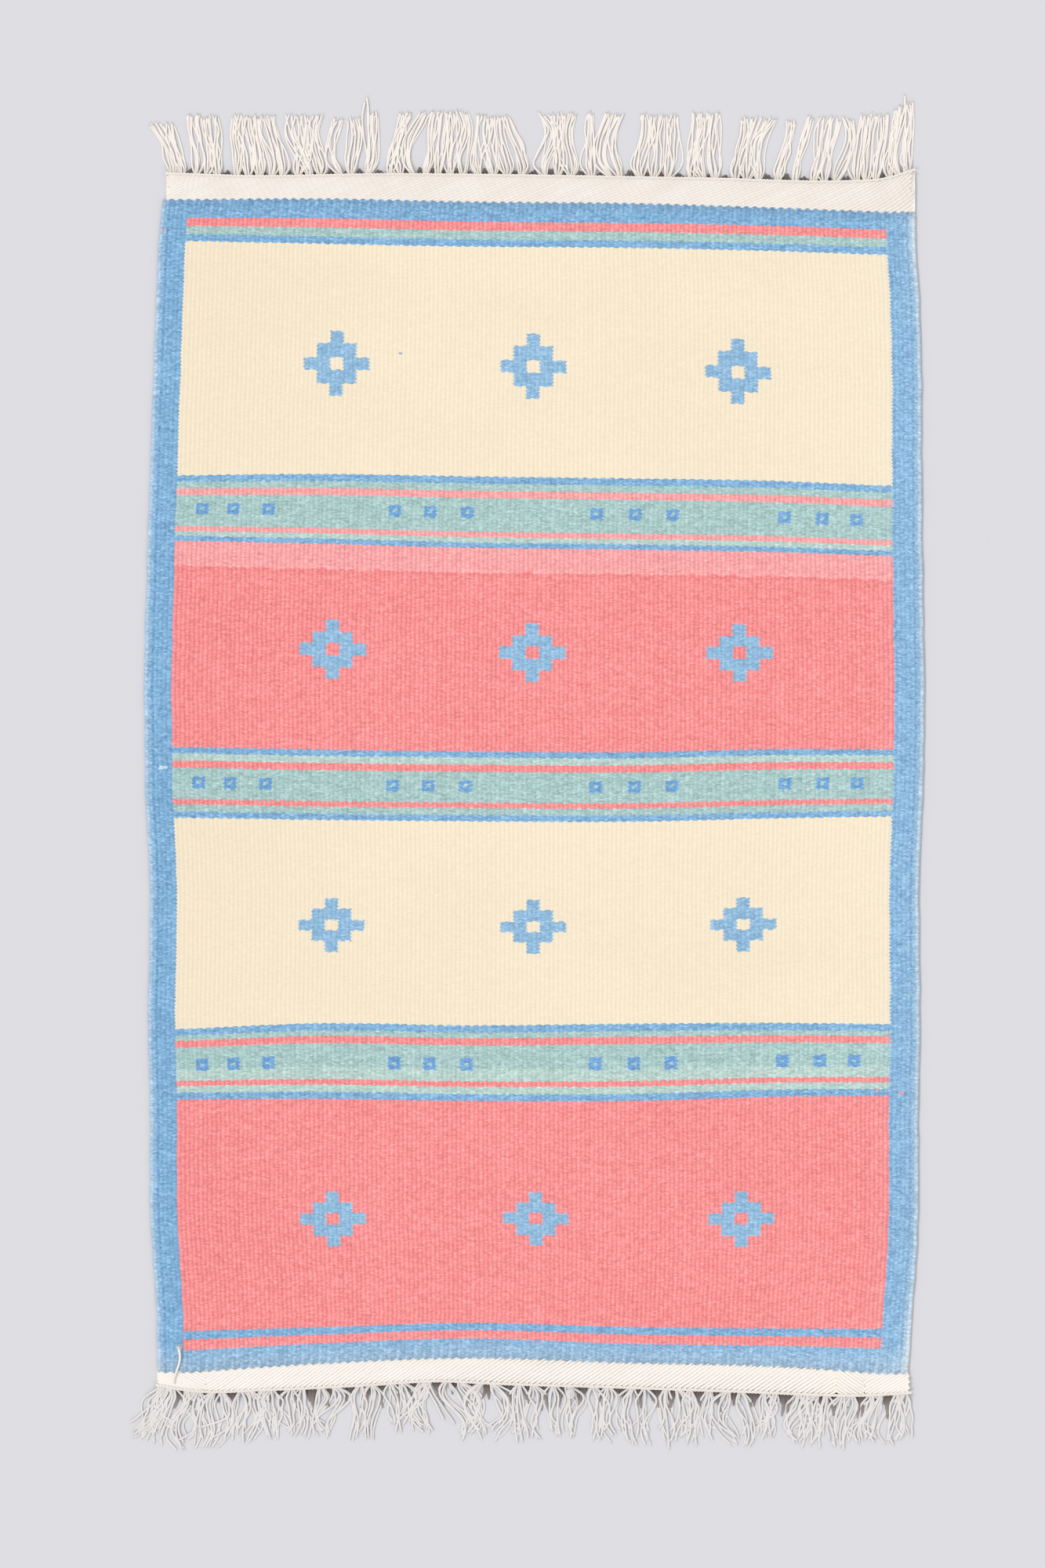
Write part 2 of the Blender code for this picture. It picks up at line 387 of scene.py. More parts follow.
def cloth_points():
    """The x and y of each column and row of the cloth, with the rib and the weft line it is on."""
    columns = RIBS * COLUMNS_PER_RIB
    ribs = np.arange(columns + 1) / COLUMNS_PER_RIB
    rows = []
    for row in range(CLOTH_ROWS + 1):
        woven = WOVEN_NEAR + (WOVEN_FAR - WOVEN_NEAR) * row / CLOTH_ROWS
        left_y = weft_y(woven, ACROSS[0])
        right_y = weft_y(woven, ACROSS[-1])
        left = selvedge("left", left_y) + EDGE_WANDER * wander(9.0, left_y, 3)
        right = selvedge("right", right_y) + EDGE_WANDER * wander(9.0, right_y, 5)
        x = left + (right - left) * ribs / RIBS
        lines = np.array([smooth(ACROSS, line.y, x) for line in WEFT_LINES])
        levels = [line.woven for line in WEFT_LINES]
        y = np.array([np.interp(woven, levels, lines[:, column]) for column in range(columns + 1)])
        if row in (0, CLOTH_ROWS):
            y += np.sign(woven) * END_SCALLOP * np.cos(np.pi * ribs)
        rows.append((x, y, ribs, np.full(columns + 1, woven)))
    return rows


def cloth_sheet():
    rows = cloth_points()
    columns = RIBS * COLUMNS_PER_RIB
    bm = bmesh.new()
    weave = bm.verts.layers.float_vector.new("weave")
    side = bm.verts.layers.float.new("side")
    bmesh.ops.create_grid(bm, x_segments=columns, y_segments=CLOTH_ROWS, size=0.5)
    raised = bmesh.ops.extrude_face_region(bm, geom=bm.faces[:])["geom"]
    upper = {item for item in raised if isinstance(item, bmesh.types.BMVert)}
    for vert in bm.verts:
        column = round((vert.co.x + 0.5) * columns)
        x, y, rib, woven = (values[column] for values in rows[round((vert.co.y + 0.5) * CLOTH_ROWS)])
        vert[weave] = (rib, woven, 0.0)
        vert[side] = 1.0 if vert in upper else -1.0
        vert.co = place(x, y, 1.5 + vert[side])
    bmesh.ops.recalc_face_normals(bm, faces=bm.faces[:])
    mesh = bpy.data.meshes.new("cloth_sheet")
    bm.to_mesh(mesh)
    bm.free()
    return new_object("cloth_sheet", mesh)


sheet = cloth_sheet()
print("faces in the sheet:", len(sheet.data.polygons))

# %% [markdown]
# ## Geometry Nodes, and how a tree becomes a plain mesh
# A node tree is a good maker for anything that repeats. Each tree here has named inputs for its
# sizes. A modifier wants its inputs by their hidden identifiers, so this helper looks them up, then
# bakes the result into a mesh and throws the modifier away.

# %% Running a tree


def run_tree(source, tree, name, **values):
    """Runs a Geometry Nodes tree on an object, and returns the result as a new plain object."""
    modifier = source.modifiers.new(tree.name, "NODES")
    modifier.node_group = tree
    wanted = {label.replace("_", " ").capitalize(): value for label, value in values.items()}
    for socket in tree.interface.items_tree:
        if socket.in_out == "INPUT" and socket.name in wanted:
            modifier[socket.identifier] = wanted.pop(socket.name)
    if wanted:
        raise ValueError(f"{tree.name} has no input named {sorted(wanted)}")
    source.update_tag()
    bpy.context.view_layer.update()
    evaluated = source.evaluated_get(bpy.context.evaluated_depsgraph_get())
    mesh = bpy.data.meshes.new_from_object(evaluated)
    mesh.name = name
    bpy.data.objects.remove(source)
    made = new_object(name, mesh)
    print(name, "triangles:", sum(len(face.vertices) - 2 for face in mesh.polygons))
    return made


def add_node(tree, kind, *values, **settings):
    node = tree.nodes.new(kind)
    for setting, value in settings.items():
        setattr(node, setting, value)
    return fill(tree, node, values)


def named(tree, label, kind="FLOAT"):
    node = tree.nodes.new("GeometryNodeInputNamedAttribute")
    node.data_type = kind
    node.inputs["Name"].default_value = label
    return node.outputs[0]


def store(tree, geometry, label, value, kind="FLOAT", domain="POINT"):
    node = tree.nodes.new("GeometryNodeStoreNamedAttribute")
    node.data_type = kind
    node.domain = domain
    node.inputs["Name"].default_value = label
    tree.links.new(geometry, node.inputs["Geometry"])
    tree.links.new(value, node.inputs["Value"])
    return node.outputs[0]


def close_tree(tree, geometry, material, result):
    """The end that every tree shares: real geometry, smooth faces and a material."""
    real = add_node(tree, "GeometryNodeRealizeInstances", geometry).outputs[0]
    shaded = add_node(tree, "GeometryNodeSetShadeSmooth", real).outputs[0]
    finished = add_node(tree, "GeometryNodeSetMaterial", shaded, None, material).outputs[0]
    tree.links.new(finished, result["Geometry"])


print("trees can be run")

# %% [markdown]
# ## Ribs
# A weft-faced weave shows its warp only as ribs: the weft bends over each bundle and dips between
# them. The height therefore follows one rule across the whole cloth, an arch for each rib, and the
# two outermost ribs are rounded off into the selvedge. A tree can apply that rule to every point.

# %% Tree that raises the ribs
VALLEY_SHARPNESS = 0.6
THINNEST_EDGE = 0.12
LUMPS_PER_MM = 0.05


def rib_tree():
    inputs = [
        ("Geometry", "geometry"),
        ("Half thickness", "value"),
        ("Groove depth", "value"),
        ("Selvedge ribs", "value"),
        ("Unevenness", "value"),
        ("Material", "material"),
    ]
    tree, given, result = new_tree("raise_ribs", "GeometryNodeTree", inputs, [("Geometry", "geometry")])
    rib, woven, _ = split(tree, named(tree, "weave", "FLOAT_VECTOR"))
    arch = math_node(tree, "ABSOLUTE", math_node(tree, "SINE", times(tree, rib, math.pi)))
    dip = minus(tree, 1.0, math_node(tree, "POWER", arch, VALLEY_SHARPNESS))
    to_edge = math_node(tree, "MINIMUM", rib, minus(tree, float(RIBS), rib))
    inward = math_node(tree, "DIVIDE", to_edge, given["Selvedge ribs"], clamp=True)
    rest = minus(tree, 1.0, inward)
    squared = minus(tree, 1.0, times(tree, rest, rest))
    round_edge = math_node(tree, "MAXIMUM", math_node(tree, "SQRT", squared), THINNEST_EDGE)
    lump_place = combine(tree, math_node(tree, "FLOOR", rib), times(tree, woven, LUMPS_PER_MM))
    lumps = noise(tree, lump_place, 1.0)
    uneven = times(tree, minus(tree, lumps, 0.5), given["Unevenness"])
    groove = times(tree, dip, given["Groove depth"])
    half = minus(tree, plus(tree, given["Half thickness"], uneven), groove)
    half = times(tree, half, round_edge)
    height = scale_and_add(tree, half, named(tree, "side"), given["Half thickness"])
    x, y, _ = split(tree, add_node(tree, "GeometryNodeInputPosition").outputs[0])
    raised = combine(tree, x, y, height)
    moved = add_node(tree, "GeometryNodeSetPosition", given["Geometry"], None, raised)
    close_tree(tree, moved.outputs[0], given["Material"], result)
    return tree


ribs_tree = rib_tree()
print("nodes in the rib tree:", len(ribs_tree.nodes))

# %% [markdown]
# ## Yarn, stitches and fibres as shared node groups
# Three effects come back in several finishes. `Weft stitches` draws the short bars of weft: each
# line of weft waves over one rib and under the next, so its bars step up and down by half a bar from
# rib to rib. `Yarn twist` draws the slanting plies of a spun yarn. `Cotton fibre` is the fine
# unevenness of a matt, slightly hairy thread. Each is built once and given its own values later.

# %% Weft stitches
STITCH_PITCH = 1.353
STEP_SHARE = 0.25
STEP_STEEPNESS = 1.5
BAR_ROUNDNESS = 0.7
LOWEST_BAR = 0.65
THREAD_ALONG, THREAD_STEP = 0.16, 3.7
TOOTH_STEP, TOOTH_START = 0.2, 0.4


def stitch_group():
    inputs = [("Weave", "vector"), ("Stitch pitch", "value"), ("Wander", "value")]
    outputs = [
        ("Height", "value"),
        ("Bar gap", "value"),
        ("Rib gap", "value"),
        ("Woven", "value"),
        ("Line", "value"),
        ("Stitch tone", "value"),
        ("Thread tone", "value"),
        ("Rib tone", "value"),
    ]
    tree, given, result = new_tree("Weft stitches", "ShaderNodeTree", inputs, outputs)
    rib, woven, _ = split(tree, given["Weave"])
    swing = math_node(tree, "SINE", times(tree, rib, math.pi))
    steep = math_node(tree, "MAXIMUM", times(tree, swing, STEP_STEEPNESS), -1.0)
    step = times(tree, math_node(tree, "MINIMUM", steep, 1.0), STEP_SHARE)
    slow = noise(tree, combine(tree, times(tree, rib, 0.35), times(tree, woven, 0.3)), 1.0)
    drift = times(tree, minus(tree, slow, 0.5), given["Wander"])
    line = math_node(tree, "DIVIDE", woven, given["Stitch pitch"])
    line = plus(tree, plus(tree, line, step), drift)
    whole = math_node(tree, "FLOOR", line)
    part = minus(tree, line, whole)
    arch = math_node(tree, "SINE", times(tree, part, math.pi))
    bar = math_node(tree, "POWER", arch, BAR_ROUNDNESS)
    crown = math_node(tree, "ABSOLUTE", swing)
    height = times(tree, bar, scale_and_add(tree, crown, 1.0 - LOWEST_BAR, LOWEST_BAR))
    between_bars = math_node(tree, "POWER", minus(tree, 1.0, arch), 2.0)
    between_ribs = math_node(tree, "POWER", minus(tree, 1.0, crown), 1.2)
    bundle = math_node(tree, "FLOOR", rib)
    tone = white_noise(tree, combine(tree, bundle, whole))
    long_way = combine(tree, times(tree, rib, THREAD_ALONG), times(tree, whole, THREAD_STEP))
    thread = map_range(tree, noise(tree, long_way, 1.0, detail=1.0), 0.3, 0.7, 0.0, 1.0, smooth=False)
    tree.links.new(height, result["Height"])
    tree.links.new(between_bars, result["Bar gap"])
    tree.links.new(between_ribs, result["Rib gap"])
    tooth = scale_and_add(tree, math_node(tree, "PINGPONG", bundle, 1.0), TOOTH_STEP, TOOTH_START)
    centre = times(tree, plus(tree, whole, tooth), given["Stitch pitch"])
    tree.links.new(centre, result["Woven"])
    tree.links.new(whole, result["Line"])
    tree.links.new(tone, result["Stitch tone"])
    tree.links.new(thread, result["Thread tone"])
    tree.links.new(white_noise(tree, combine(tree, bundle, 7.3)), result["Rib tone"])
    return tree


stitches = stitch_group()
print("weft lines in the cloth:", round((WOVEN_FAR - WOVEN_NEAR) / STITCH_PITCH))

# %% Yarn twist and cotton fibre


def twist_group():
    inputs = [("Along", "value"), ("Around", "vector"), ("Turn length", "value"), ("Plies", "value")]
    outputs = [("Height", "value"), ("Groove", "value")]
    tree, given, result = new_tree("Yarn twist", "ShaderNodeTree", inputs, outputs)
    x, y, _ = split(tree, given["Around"])
    angle = times(tree, math_node(tree, "ARCTAN2", y, x), given["Plies"])
    wound = times(tree, given["Along"], math.tau)
    turns = math_node(tree, "DIVIDE", wound, given["Turn length"])
    phase = times(tree, plus(tree, angle, turns), 0.5)
    ply = math_node(tree, "ABSOLUTE", math_node(tree, "SINE", phase))
    tree.links.new(math_node(tree, "POWER", ply, 0.7), result["Height"])
    tree.links.new(math_node(tree, "POWER", minus(tree, 1.0, ply), 2.0), result["Groove"])
    return tree


def fibre_group():
    inputs = [("Place", "vector"), ("Fibre scale", "value"), ("Patch scale", "value")]
    outputs = [("Fibre", "value"), ("Patch", "value")]
    tree, given, result = new_tree("Cotton fibre", "ShaderNodeTree", inputs, outputs)
    for scale, label, detail in (("Fibre scale", "Fibre", 3.0), ("Patch scale", "Patch", 2.0)):
        grain = tree.nodes.new("ShaderNodeTexNoise")
        grain.inputs["Detail"].default_value = detail
        tree.links.new(given["Place"], grain.inputs["Vector"])
        tree.links.new(given[scale], grain.inputs["Scale"])
        level = map_range(tree, grain.outputs[0], 0.3, 0.7, 0.0, 1.0, smooth=False)
        tree.links.new(level, result[label])
    return tree


twist = twist_group()
fibre = fibre_group()
print("shared groups:", [group.name for group in (stitches, twist, fibre)])

# %% [markdown]
# ## The pattern
# The pattern is woven in, line by line, so it is charted the way a weaver counts it: bands along the
# length, and figures by ribs across and blocks along. Everything is looked up at the middle of a
# stitch, so a colour never changes inside one, and the edges come out toothed, as they do on a loom.
# The green came from two lots of yarn, and the paler one fills some of the narrow stripes.

# %% Yarns
Yarn = namedtuple("Yarn", "colour heather")
YARNS = {
    "blue": Yarn(seen(137, 185, 224), 0.56),
    "pink": Yarn(seen(258, 155, 156), 0.38),
    "pale_pink": Yarn(seen(259, 175, 176), 0.36),
    "green": Yarn(seen(176, 208, 206), 0.48),
    "light_green": Yarn(seen(193, 218, 212), 0.46),
    "cream": Yarn(seen(250, 235, 208), 0.08),
    "figure_blue": Yarn(seen(151, 193, 226), 0.45),
    "square_blue": Yarn(seen(118, 170, 221), 0.40),
}

Band = namedtuple("Band", "yarn woven")
FIELDS = [Band("pink", -460.0), Band("cream", -214.0), Band("pink", 0.0), Band("cream", 208.0)]

Stripes = namedtuple("Stripes", "until bands")
STRIPES = [
    Stripes(-418.5, [Band("blue", -460.0), Band("pink", -431.6), Band("blue", -424.3)]),
    Stripes(
        -185.7,
        [
            Band("blue", -242.2),
            Band("light_green", -237.0),
            Band("pink", -231.6),
            Band("light_green", -227.4),
            Band("green", -217.5),
            Band("pink", -200.9),
            Band("green", -195.4),
            Band("blue", -190.4),
        ],
    ),
    Stripes(
        26.4,
        [
            Band("blue", -26.8),
            Band("green", -22.6),
            Band("pink", -17.2),
            Band("green", -12.9),
            Band("pink", 11.2),
            Band("light_green", 16.2),
            Band("blue", 21.9),
        ],
    ),
    Stripes(
        235.4,
        [
            Band("blue", 180.8),
            Band("light_green", 184.8),
            Band("pale_pink", 189.3),
            Band("green", 193.6),
            Band("pale_pink", 219.4),
            Band("green", 224.5),
            Band("blue", 229.7),
        ],
    ),
    Stripes(
        460.0,
        [Band("blue", 412.7), Band("green", 418.3), Band("pink", 424.2), Band("blue", 431.3)],
    ),
]
BORDER_LEFT = 6.1
BORDER_RIGHT = 166.3
PALE_FROM = 162.6
PALE_UNTIL = 200.0
PALE_WOBBLE = 7.0
# Painted highlight just past the pale line and painted shade just before it, as on a small crease
CREASE_HIGHLIGHT_SPAN = (-0.6, 1.6)
CREASE_SHADE_SPAN = (-3.2, -0.6)
FLECK_HEATHER = 0.2
print("stripes:", sum(len(stripes.bands) for stripes in STRIPES))

# %% Figures
CROSS_BLOCK_RIBS = 2.95
Crosses = namedtuple("Crosses", "woven block ribs")
CROSSES = [
    Crosses(321.3, 10.1, (41.2, 85.5, 131.6)),
    Crosses(102.0, 9.0, (41.7, 86.0, 132.0)),
    Crosses(-108.9, 8.2, (40.9, 86.2, 133.4)),
    Crosses(-334.6, 8.4, (41.1, 86.8, 133.1)),
]

SQUARE_HALF_RIBS = 1.4
SQUARE_HALF_HEIGHT = 4.4
SQUARE_HOLE_RIBS = 0.45
SQUARE_HOLE_HEIGHT = 1.3
SQUARE_ROWS = (208.0, -0.4, -214.6)
SQUARE_RIBS = (12.0, 19.0, 26.8, 55.1, 63.0, 71.3, 100.2, 108.8, 117.2, 142.2, 150.6, 158.3)


def nearest(tree, value, centres, scale=1.0):
    """How far a value is from the nearest of some centres, over a scale."""
    best = None
    for centre in centres:
        away = math_node(tree, "ABSOLUTE", minus(tree, value, centre))
        best = away if best is None else math_node(tree, "MINIMUM", best, away)
    return math_node(tree, "DIVIDE", best, scale)


def below(tree, value, limit):
    return math_node(tree, "LESS_THAN", value, limit)


def crosses_mask(tree, rib, woven):
    """Stepped crosses: a block is filled where its steps across and along add up to one or two."""
    shown = None
    for row in CROSSES:
        across = math_node(tree, "ROUND", nearest(tree, rib, row.ribs, CROSS_BLOCK_RIBS))
        along = math_node(tree, "ROUND", nearest(tree, woven, [row.woven], row.block))
        steps = plus(tree, across, along)
        filled = math_node(tree, "COMPARE", steps, 1.5, 0.6)
        shown = filled if shown is None else math_node(tree, "MAXIMUM", shown, filled)
    return shown


def squares_mask(tree, rib, woven):
    """Small squares with an open middle."""
    across = nearest(tree, rib, SQUARE_RIBS)
    along = nearest(tree, woven, SQUARE_ROWS)
    inside = times(
        tree, below(tree, across, SQUARE_HALF_RIBS), below(tree, along, SQUARE_HALF_HEIGHT)
    )
    hole = times(
        tree, below(tree, across, SQUARE_HOLE_RIBS), below(tree, along, SQUARE_HOLE_HEIGHT)
    )
    return minus(tree, inside, hole, clamp=True)


Fleck = namedtuple("Fleck", "colour rib woven half_ribs half_height")
FLECKS = [
    Fleck(seen(245, 165, 170), 169.0, -239.8, 0.45, 0.9),
    Fleck(seen(235, 170, 180), 163.6, -238.0, 0.3, 0.8),
    Fleck(seen(240, 160, 165), 0.8, 421.0, 0.5, 0.8),
    Fleck(seen(165, 180, 200), 55.8, 330.0, 0.5, 0.5),
    Fleck(seen(95, 125, 160), 17.7, -442.5, 0.12, 4.5),
    Fleck(seen(215, 230, 240), 4.0, 11.0, 0.9, 0.9),
]

print("crosses:", 3 * len(CROSSES), "squares:", len(SQUARE_ROWS) * len(SQUARE_RIBS))

# %% [markdown]
# A colour ramp with constant steps is the simplest chart for a group of stripes. A ramp is stored in
# a table of limited length, so each group has a ramp of its own and stays sharp. The ramp's alpha
# carries how heathered the yarn is: the blue mixes light and dark fibres, and the cream is almost
# plain. In the far pink field the weaver changed to a paler lot of yarn, along a wavering line.

# %% Chart of the bands


def between_limits(tree, value, low, high):
    return math_node(tree, "COMPARE", value, (low + high) / 2, (high - low) / 2)


def stripes_ramp(tree, woven, stripes):
    low, span = stripes.bands[0].woven, stripes.until - stripes.bands[0].woven
    node = tree.nodes.new("ShaderNodeValToRGB")
    share = math_node(tree, "DIVIDE", minus(tree, woven, low), span)
    tree.links.new(share, node.inputs[0])
    ramp = node.color_ramp
    ramp.interpolation = "CONSTANT"
    ramp.elements.remove(ramp.elements[1])
    for index, band in enumerate(stripes.bands):
        stop = ramp.elements.new((band.woven - low) / span) if index else ramp.elements[0]
        stop.color = (*YARNS[band.yarn].colour, YARNS[band.yarn].heather)
    return node.outputs


def chart_group():
    inputs = [("Across", "value"), ("Woven", "value")]
    outputs = [("Colour", "colour"), ("Heather", "value"), ("Crease light", "value")]
    tree, given, result = new_tree("Kilim chart", "ShaderNodeTree", inputs, outputs)
    across, woven = given["Across"], given["Woven"]
    colour, heather = opaque(YARNS[FIELDS[0].yarn].colour), YARNS[FIELDS[0].yarn].heather

    def lay_over(share, over_colour, over_heather):
        more = minus(tree, over_heather, heather)
        mixed = mix_colour(tree, share, colour, over_colour)
        return mixed, scale_and_add(tree, share, more, heather)

    def lay_yarn(share, yarn):
        return lay_over(share, opaque(YARNS[yarn].colour), YARNS[yarn].heather)

    for field in FIELDS[1:]:
        beyond = math_node(tree, "GREATER_THAN", woven, field.woven)
        colour, heather = lay_yarn(beyond, field.yarn)
    wobble = noise(tree, combine(tree, times(tree, across, 0.22)), 1.0, detail=3.0)
    line = scale_and_add(tree, wobble, PALE_WOBBLE, PALE_FROM - PALE_WOBBLE / 2)
    past = minus(tree, woven, line)
    in_pale = times(tree, math_node(tree, "GREATER_THAN", past, 0.0), below(tree, woven, PALE_UNTIL))
    colour, heather = lay_yarn(in_pale, "pale_pink")
    for stripes in STRIPES:
        ramp = stripes_ramp(tree, woven, stripes)
        inside = between_limits(tree, woven, stripes.bands[0].woven, stripes.until)
        colour, heather = lay_over(inside, ramp["Color"], ramp["Alpha"])
    outside = minus(tree, 1.0, between_limits(tree, across, BORDER_LEFT, BORDER_RIGHT))
    crosses, squares = crosses_mask(tree, across, woven), squares_mask(tree, across, woven)
    for share, yarn in ((crosses, "figure_blue"), (squares, "square_blue"), (outside, "blue")):
        colour, heather = lay_yarn(share, yarn)
    for fleck in FLECKS:
        along = math_node(tree, "COMPARE", woven, fleck.woven, fleck.half_height)
        wide = math_node(tree, "COMPARE", across, fleck.rib, fleck.half_ribs)
        colour, heather = lay_over(times(tree, along, wide), opaque(fleck.colour), FLECK_HEATHER)
    inner = minus(tree, 1.0, outside)
    # Painted highlight and painted shade along the pale line, inside the border
    crease_highlight = times(tree, between_limits(tree, past, *CREASE_HIGHLIGHT_SPAN), inner)
    crease_shade = times(tree, between_limits(tree, past, *CREASE_SHADE_SPAN), inner)
    tree.links.new(colour, result["Colour"])
    tree.links.new(heather, result["Heather"])
    tree.links.new(minus(tree, crease_highlight, crease_shade), result["Crease light"])
    return tree


chart = chart_group()
print("nodes in the chart:", len(chart.nodes))

# %% [markdown]
# ## The cloth's finish
# The stitches give the height for the bump and the place where each colour is looked up. Tone moves
# at three scales, as it does in dyed cotton: from stitch to stitch, along a thread for a hand or
# two, and slowly over the cloth. Shade is painted into the gaps between the bars and the grooves
# between the ribs, most in the pinks, and painted shade makes a dye deeper as well as darker, so a
# gamma node does half of the shading. The outermost ribs are paler and rounder, with a dark stitched
# line inside them. The cloth is paler towards the near end and along the right edge, most of all at
# the corners.

# %% Helpers for a finish


def attribute(tree, label, output):
    node = tree.nodes.new("ShaderNodeAttribute")
    node.attribute_name = label
    return node.outputs[output]


def object_place(tree):
    return tree.nodes.new("ShaderNodeTexCoord").outputs["Object"]


def relief(tree, shader, height, strength, depth):
    """Bump on a shader. The depth is in millimetres."""
    bump = tree.nodes.new("ShaderNodeBump")
    bump.inputs["Strength"].default_value = strength
    bump.inputs["Distance"].default_value = depth * MM
    tree.links.new(height, bump.inputs["Height"])
    tree.links.new(bump.outputs[0], shader.inputs["Normal"])


def soft_cotton(shader):
    shader.inputs["Specular IOR Level"].default_value = 0.2
    shader.inputs["Sheen Weight"].default_value = 0.15


def ranged(tree, value, limits):
    return map_range(tree, value, *limits[0], *limits[1])


print("an attribute is read by its name, and relief is given in millimetres")

# %% Tone and paleness of the cloth
BASE_TONE = 1.02
TONE_STRENGTHS = {"Stitch tone": 0.50, "Thread tone": 0.24, "Rib tone": 0.12}
FIBRE_STRENGTH = 1.0
# Strengths of the shade painted into the gaps between bars and the grooves between ribs
PAINTED_BAR_SHADE = 0.40
PAINTED_PLAIN_BAR_SHADE = 0.05
PAINTED_RIB_SHADE = 0.14
PAINTED_PINK_RIB_SHADE = ((0.25, 0.42), (0.05, 0.22))
PATCH_TONE = 0.035
# Painted shade, a little darker towards the left edge of the cloth
PAINTED_LEFT_SHADE = ((0.0, 60.0), (-0.035, 0.0))
CREASE_LIGHT_STRENGTH = 0.07
PALER_NEAR = ((-446.0, -425.0), (0.30, 0.0))
PALER_RIGHT = ((160.0, 173.0), (0.0, 0.10))
PALER_EDGE = ((0.3, 1.7), (0.42, 0.0))
PALER_CORNER = ((10.0, 90.0), (0.40, 0.08))
RIGHT_CORNER_RIBS = ((RIBS - 3.4, RIBS - 0.4), (0.0, 1.0))


def cloth_tone(tree, rib, stitch, charted, fibres):
    """How light each place is: about one, with shade painted into the grooves, uneven where the yarn is
    heathered.
    """
    heather = charted["Heather"]
    tone = scale_and_add(tree, fibres["Fibre"], FIBRE_STRENGTH, -FIBRE_STRENGTH / 2)
    for label, strength in TONE_STRENGTHS.items():
        tone = plus(tree, tone, scale_and_add(tree, stitch[label], strength, -strength / 2))
    tone = times(tree, tone, heather)
    # Painted shade in the gaps between the bars and in the grooves between the ribs, deeper in the pinks
    bar_shade = scale_and_add(tree, heather, -PAINTED_BAR_SHADE, -PAINTED_PLAIN_BAR_SHADE)
    tone = scale_and_add(tree, stitch["Bar gap"], bar_shade, tone)
    red, _, blue = split(tree, charted["Colour"])
    pinkness = ranged(tree, minus(tree, red, blue), PAINTED_PINK_RIB_SHADE)
    rib_shade = scale_and_add(tree, heather, PAINTED_RIB_SHADE, pinkness)
    tone = minus(tree, tone, times(tree, stitch["Rib gap"], rib_shade))
    slow = scale_and_add(tree, fibres["Patch"], PATCH_TONE, BASE_TONE)
    slow = plus(tree, slow, ranged(tree, rib, PAINTED_LEFT_SHADE))
    # The painted crease highlight and shade go on last
    return scale_and_add(tree, charted["Crease light"], CREASE_LIGHT_STRENGTH, plus(tree, tone, slow))


def paleness(tree, rib, woven, to_edge):
    """How far the colour is mixed towards a pale tint: near the near end, at both edges, most at the
    right corners.
    """
    to_end = minus(tree, WOVEN_FAR, math_node(tree, "ABSOLUTE", woven))
    pale_share = plus(tree, ranged(tree, woven, PALER_NEAR), ranged(tree, rib, PALER_RIGHT))
    pale_share = plus(tree, pale_share, ranged(tree, to_edge, PALER_EDGE))
    corner_share = times(tree, ranged(tree, rib, RIGHT_CORNER_RIBS), ranged(tree, to_end, PALER_CORNER))
    return plus(tree, pale_share, corner_share, clamp=True)


print("tones in a stitch:", ", ".join(TONE_STRENGTHS))

# %% Cloth material
SELVEDGE_RIBS = 1.0
LINE_RIBS, LINE_HALF_WIDTH = 1.9, 0.3
DASHED_SHARE, DASH_SHADE = 0.28, 0.30
TOOTH_RIBS = 0.24
STITCH_WANDER = 0.5
ALONG_THE_WEFT = (0.45, 1.0, 1.0)
SHADE_BY_GAMMA = 0.5
PALE_TINT = seen(222, 236, 244)


def tone_colour(tree, colour, tone):
    """Shades a dye. Half of the shade makes it deeper, through gamma, and half makes it darker."""
    shade = minus(tree, 1.0, tone)
    deeper = tree.nodes.new("ShaderNodeGamma")
    fill(tree, deeper, [colour, scale_and_add(tree, shade, SHADE_BY_GAMMA, 1.0)])
    toned = tree.nodes.new("ShaderNodeVectorMath")
    toned.operation = "SCALE"
    tree.links.new(deeper.outputs[0], toned.inputs[0])
    tree.links.new(scale_and_add(tree, shade, SHADE_BY_GAMMA - 1.0, 1.0), toned.inputs["Scale"])
    return toned.outputs[0]


def cloth_material():
    made, tree, shader = new_material("woven_cotton", roughness=0.92)
    weave = attribute(tree, "weave", "Vector")
    stitch = use_group(tree, stitches, weave=weave, stitch_pitch=STITCH_PITCH, wander=STITCH_WANDER)
    rib, woven, _ = split(tree, weave)
    odd_line = math_node(tree, "PINGPONG", stitch["Line"], 1.0)
    across = plus(tree, rib, scale_and_add(tree, odd_line, TOOTH_RIBS, -TOOTH_RIBS / 2))
    charted = use_group(tree, chart, across=across, woven=stitch["Woven"])
    stretched = tree.nodes.new("ShaderNodeVectorMath")
    stretched.operation = "MULTIPLY"
    fill(tree, stretched, [object_place(tree), ALONG_THE_WEFT])
    fibres = use_group(tree, fibre, place=stretched.outputs[0], fibre_scale=900.0, patch_scale=12.0)

    to_edge = math_node(tree, "MINIMUM", rib, minus(tree, float(RIBS), rib))
    pale_share = paleness(tree, rib, woven, to_edge)
    colour = mix_colour(tree, pale_share, charted["Colour"], opaque(PALE_TINT))
    in_line = math_node(tree, "COMPARE", to_edge, LINE_RIBS, LINE_HALF_WIDTH)
    dashes = math_node(tree, "GREATER_THAN", stitch["Stitch tone"], 1.0 - DASHED_SHARE)
    dash_shade = times(tree, times(tree, in_line, dashes), -DASH_SHADE)
    tone = plus(tree, cloth_tone(tree, rib, stitch, charted, fibres), dash_shade)
    tree.links.new(tone_colour(tree, colour, tone), shader.inputs["Base Color"])

    height = scale_and_add(tree, fibres["Fibre"], 0.12, stitch["Height"])
    relief(tree, shader, height, strength=0.7, depth=0.14)
    soft_cotton(shader)
    shader.inputs["Sheen Roughness"].default_value = 0.6
    return made


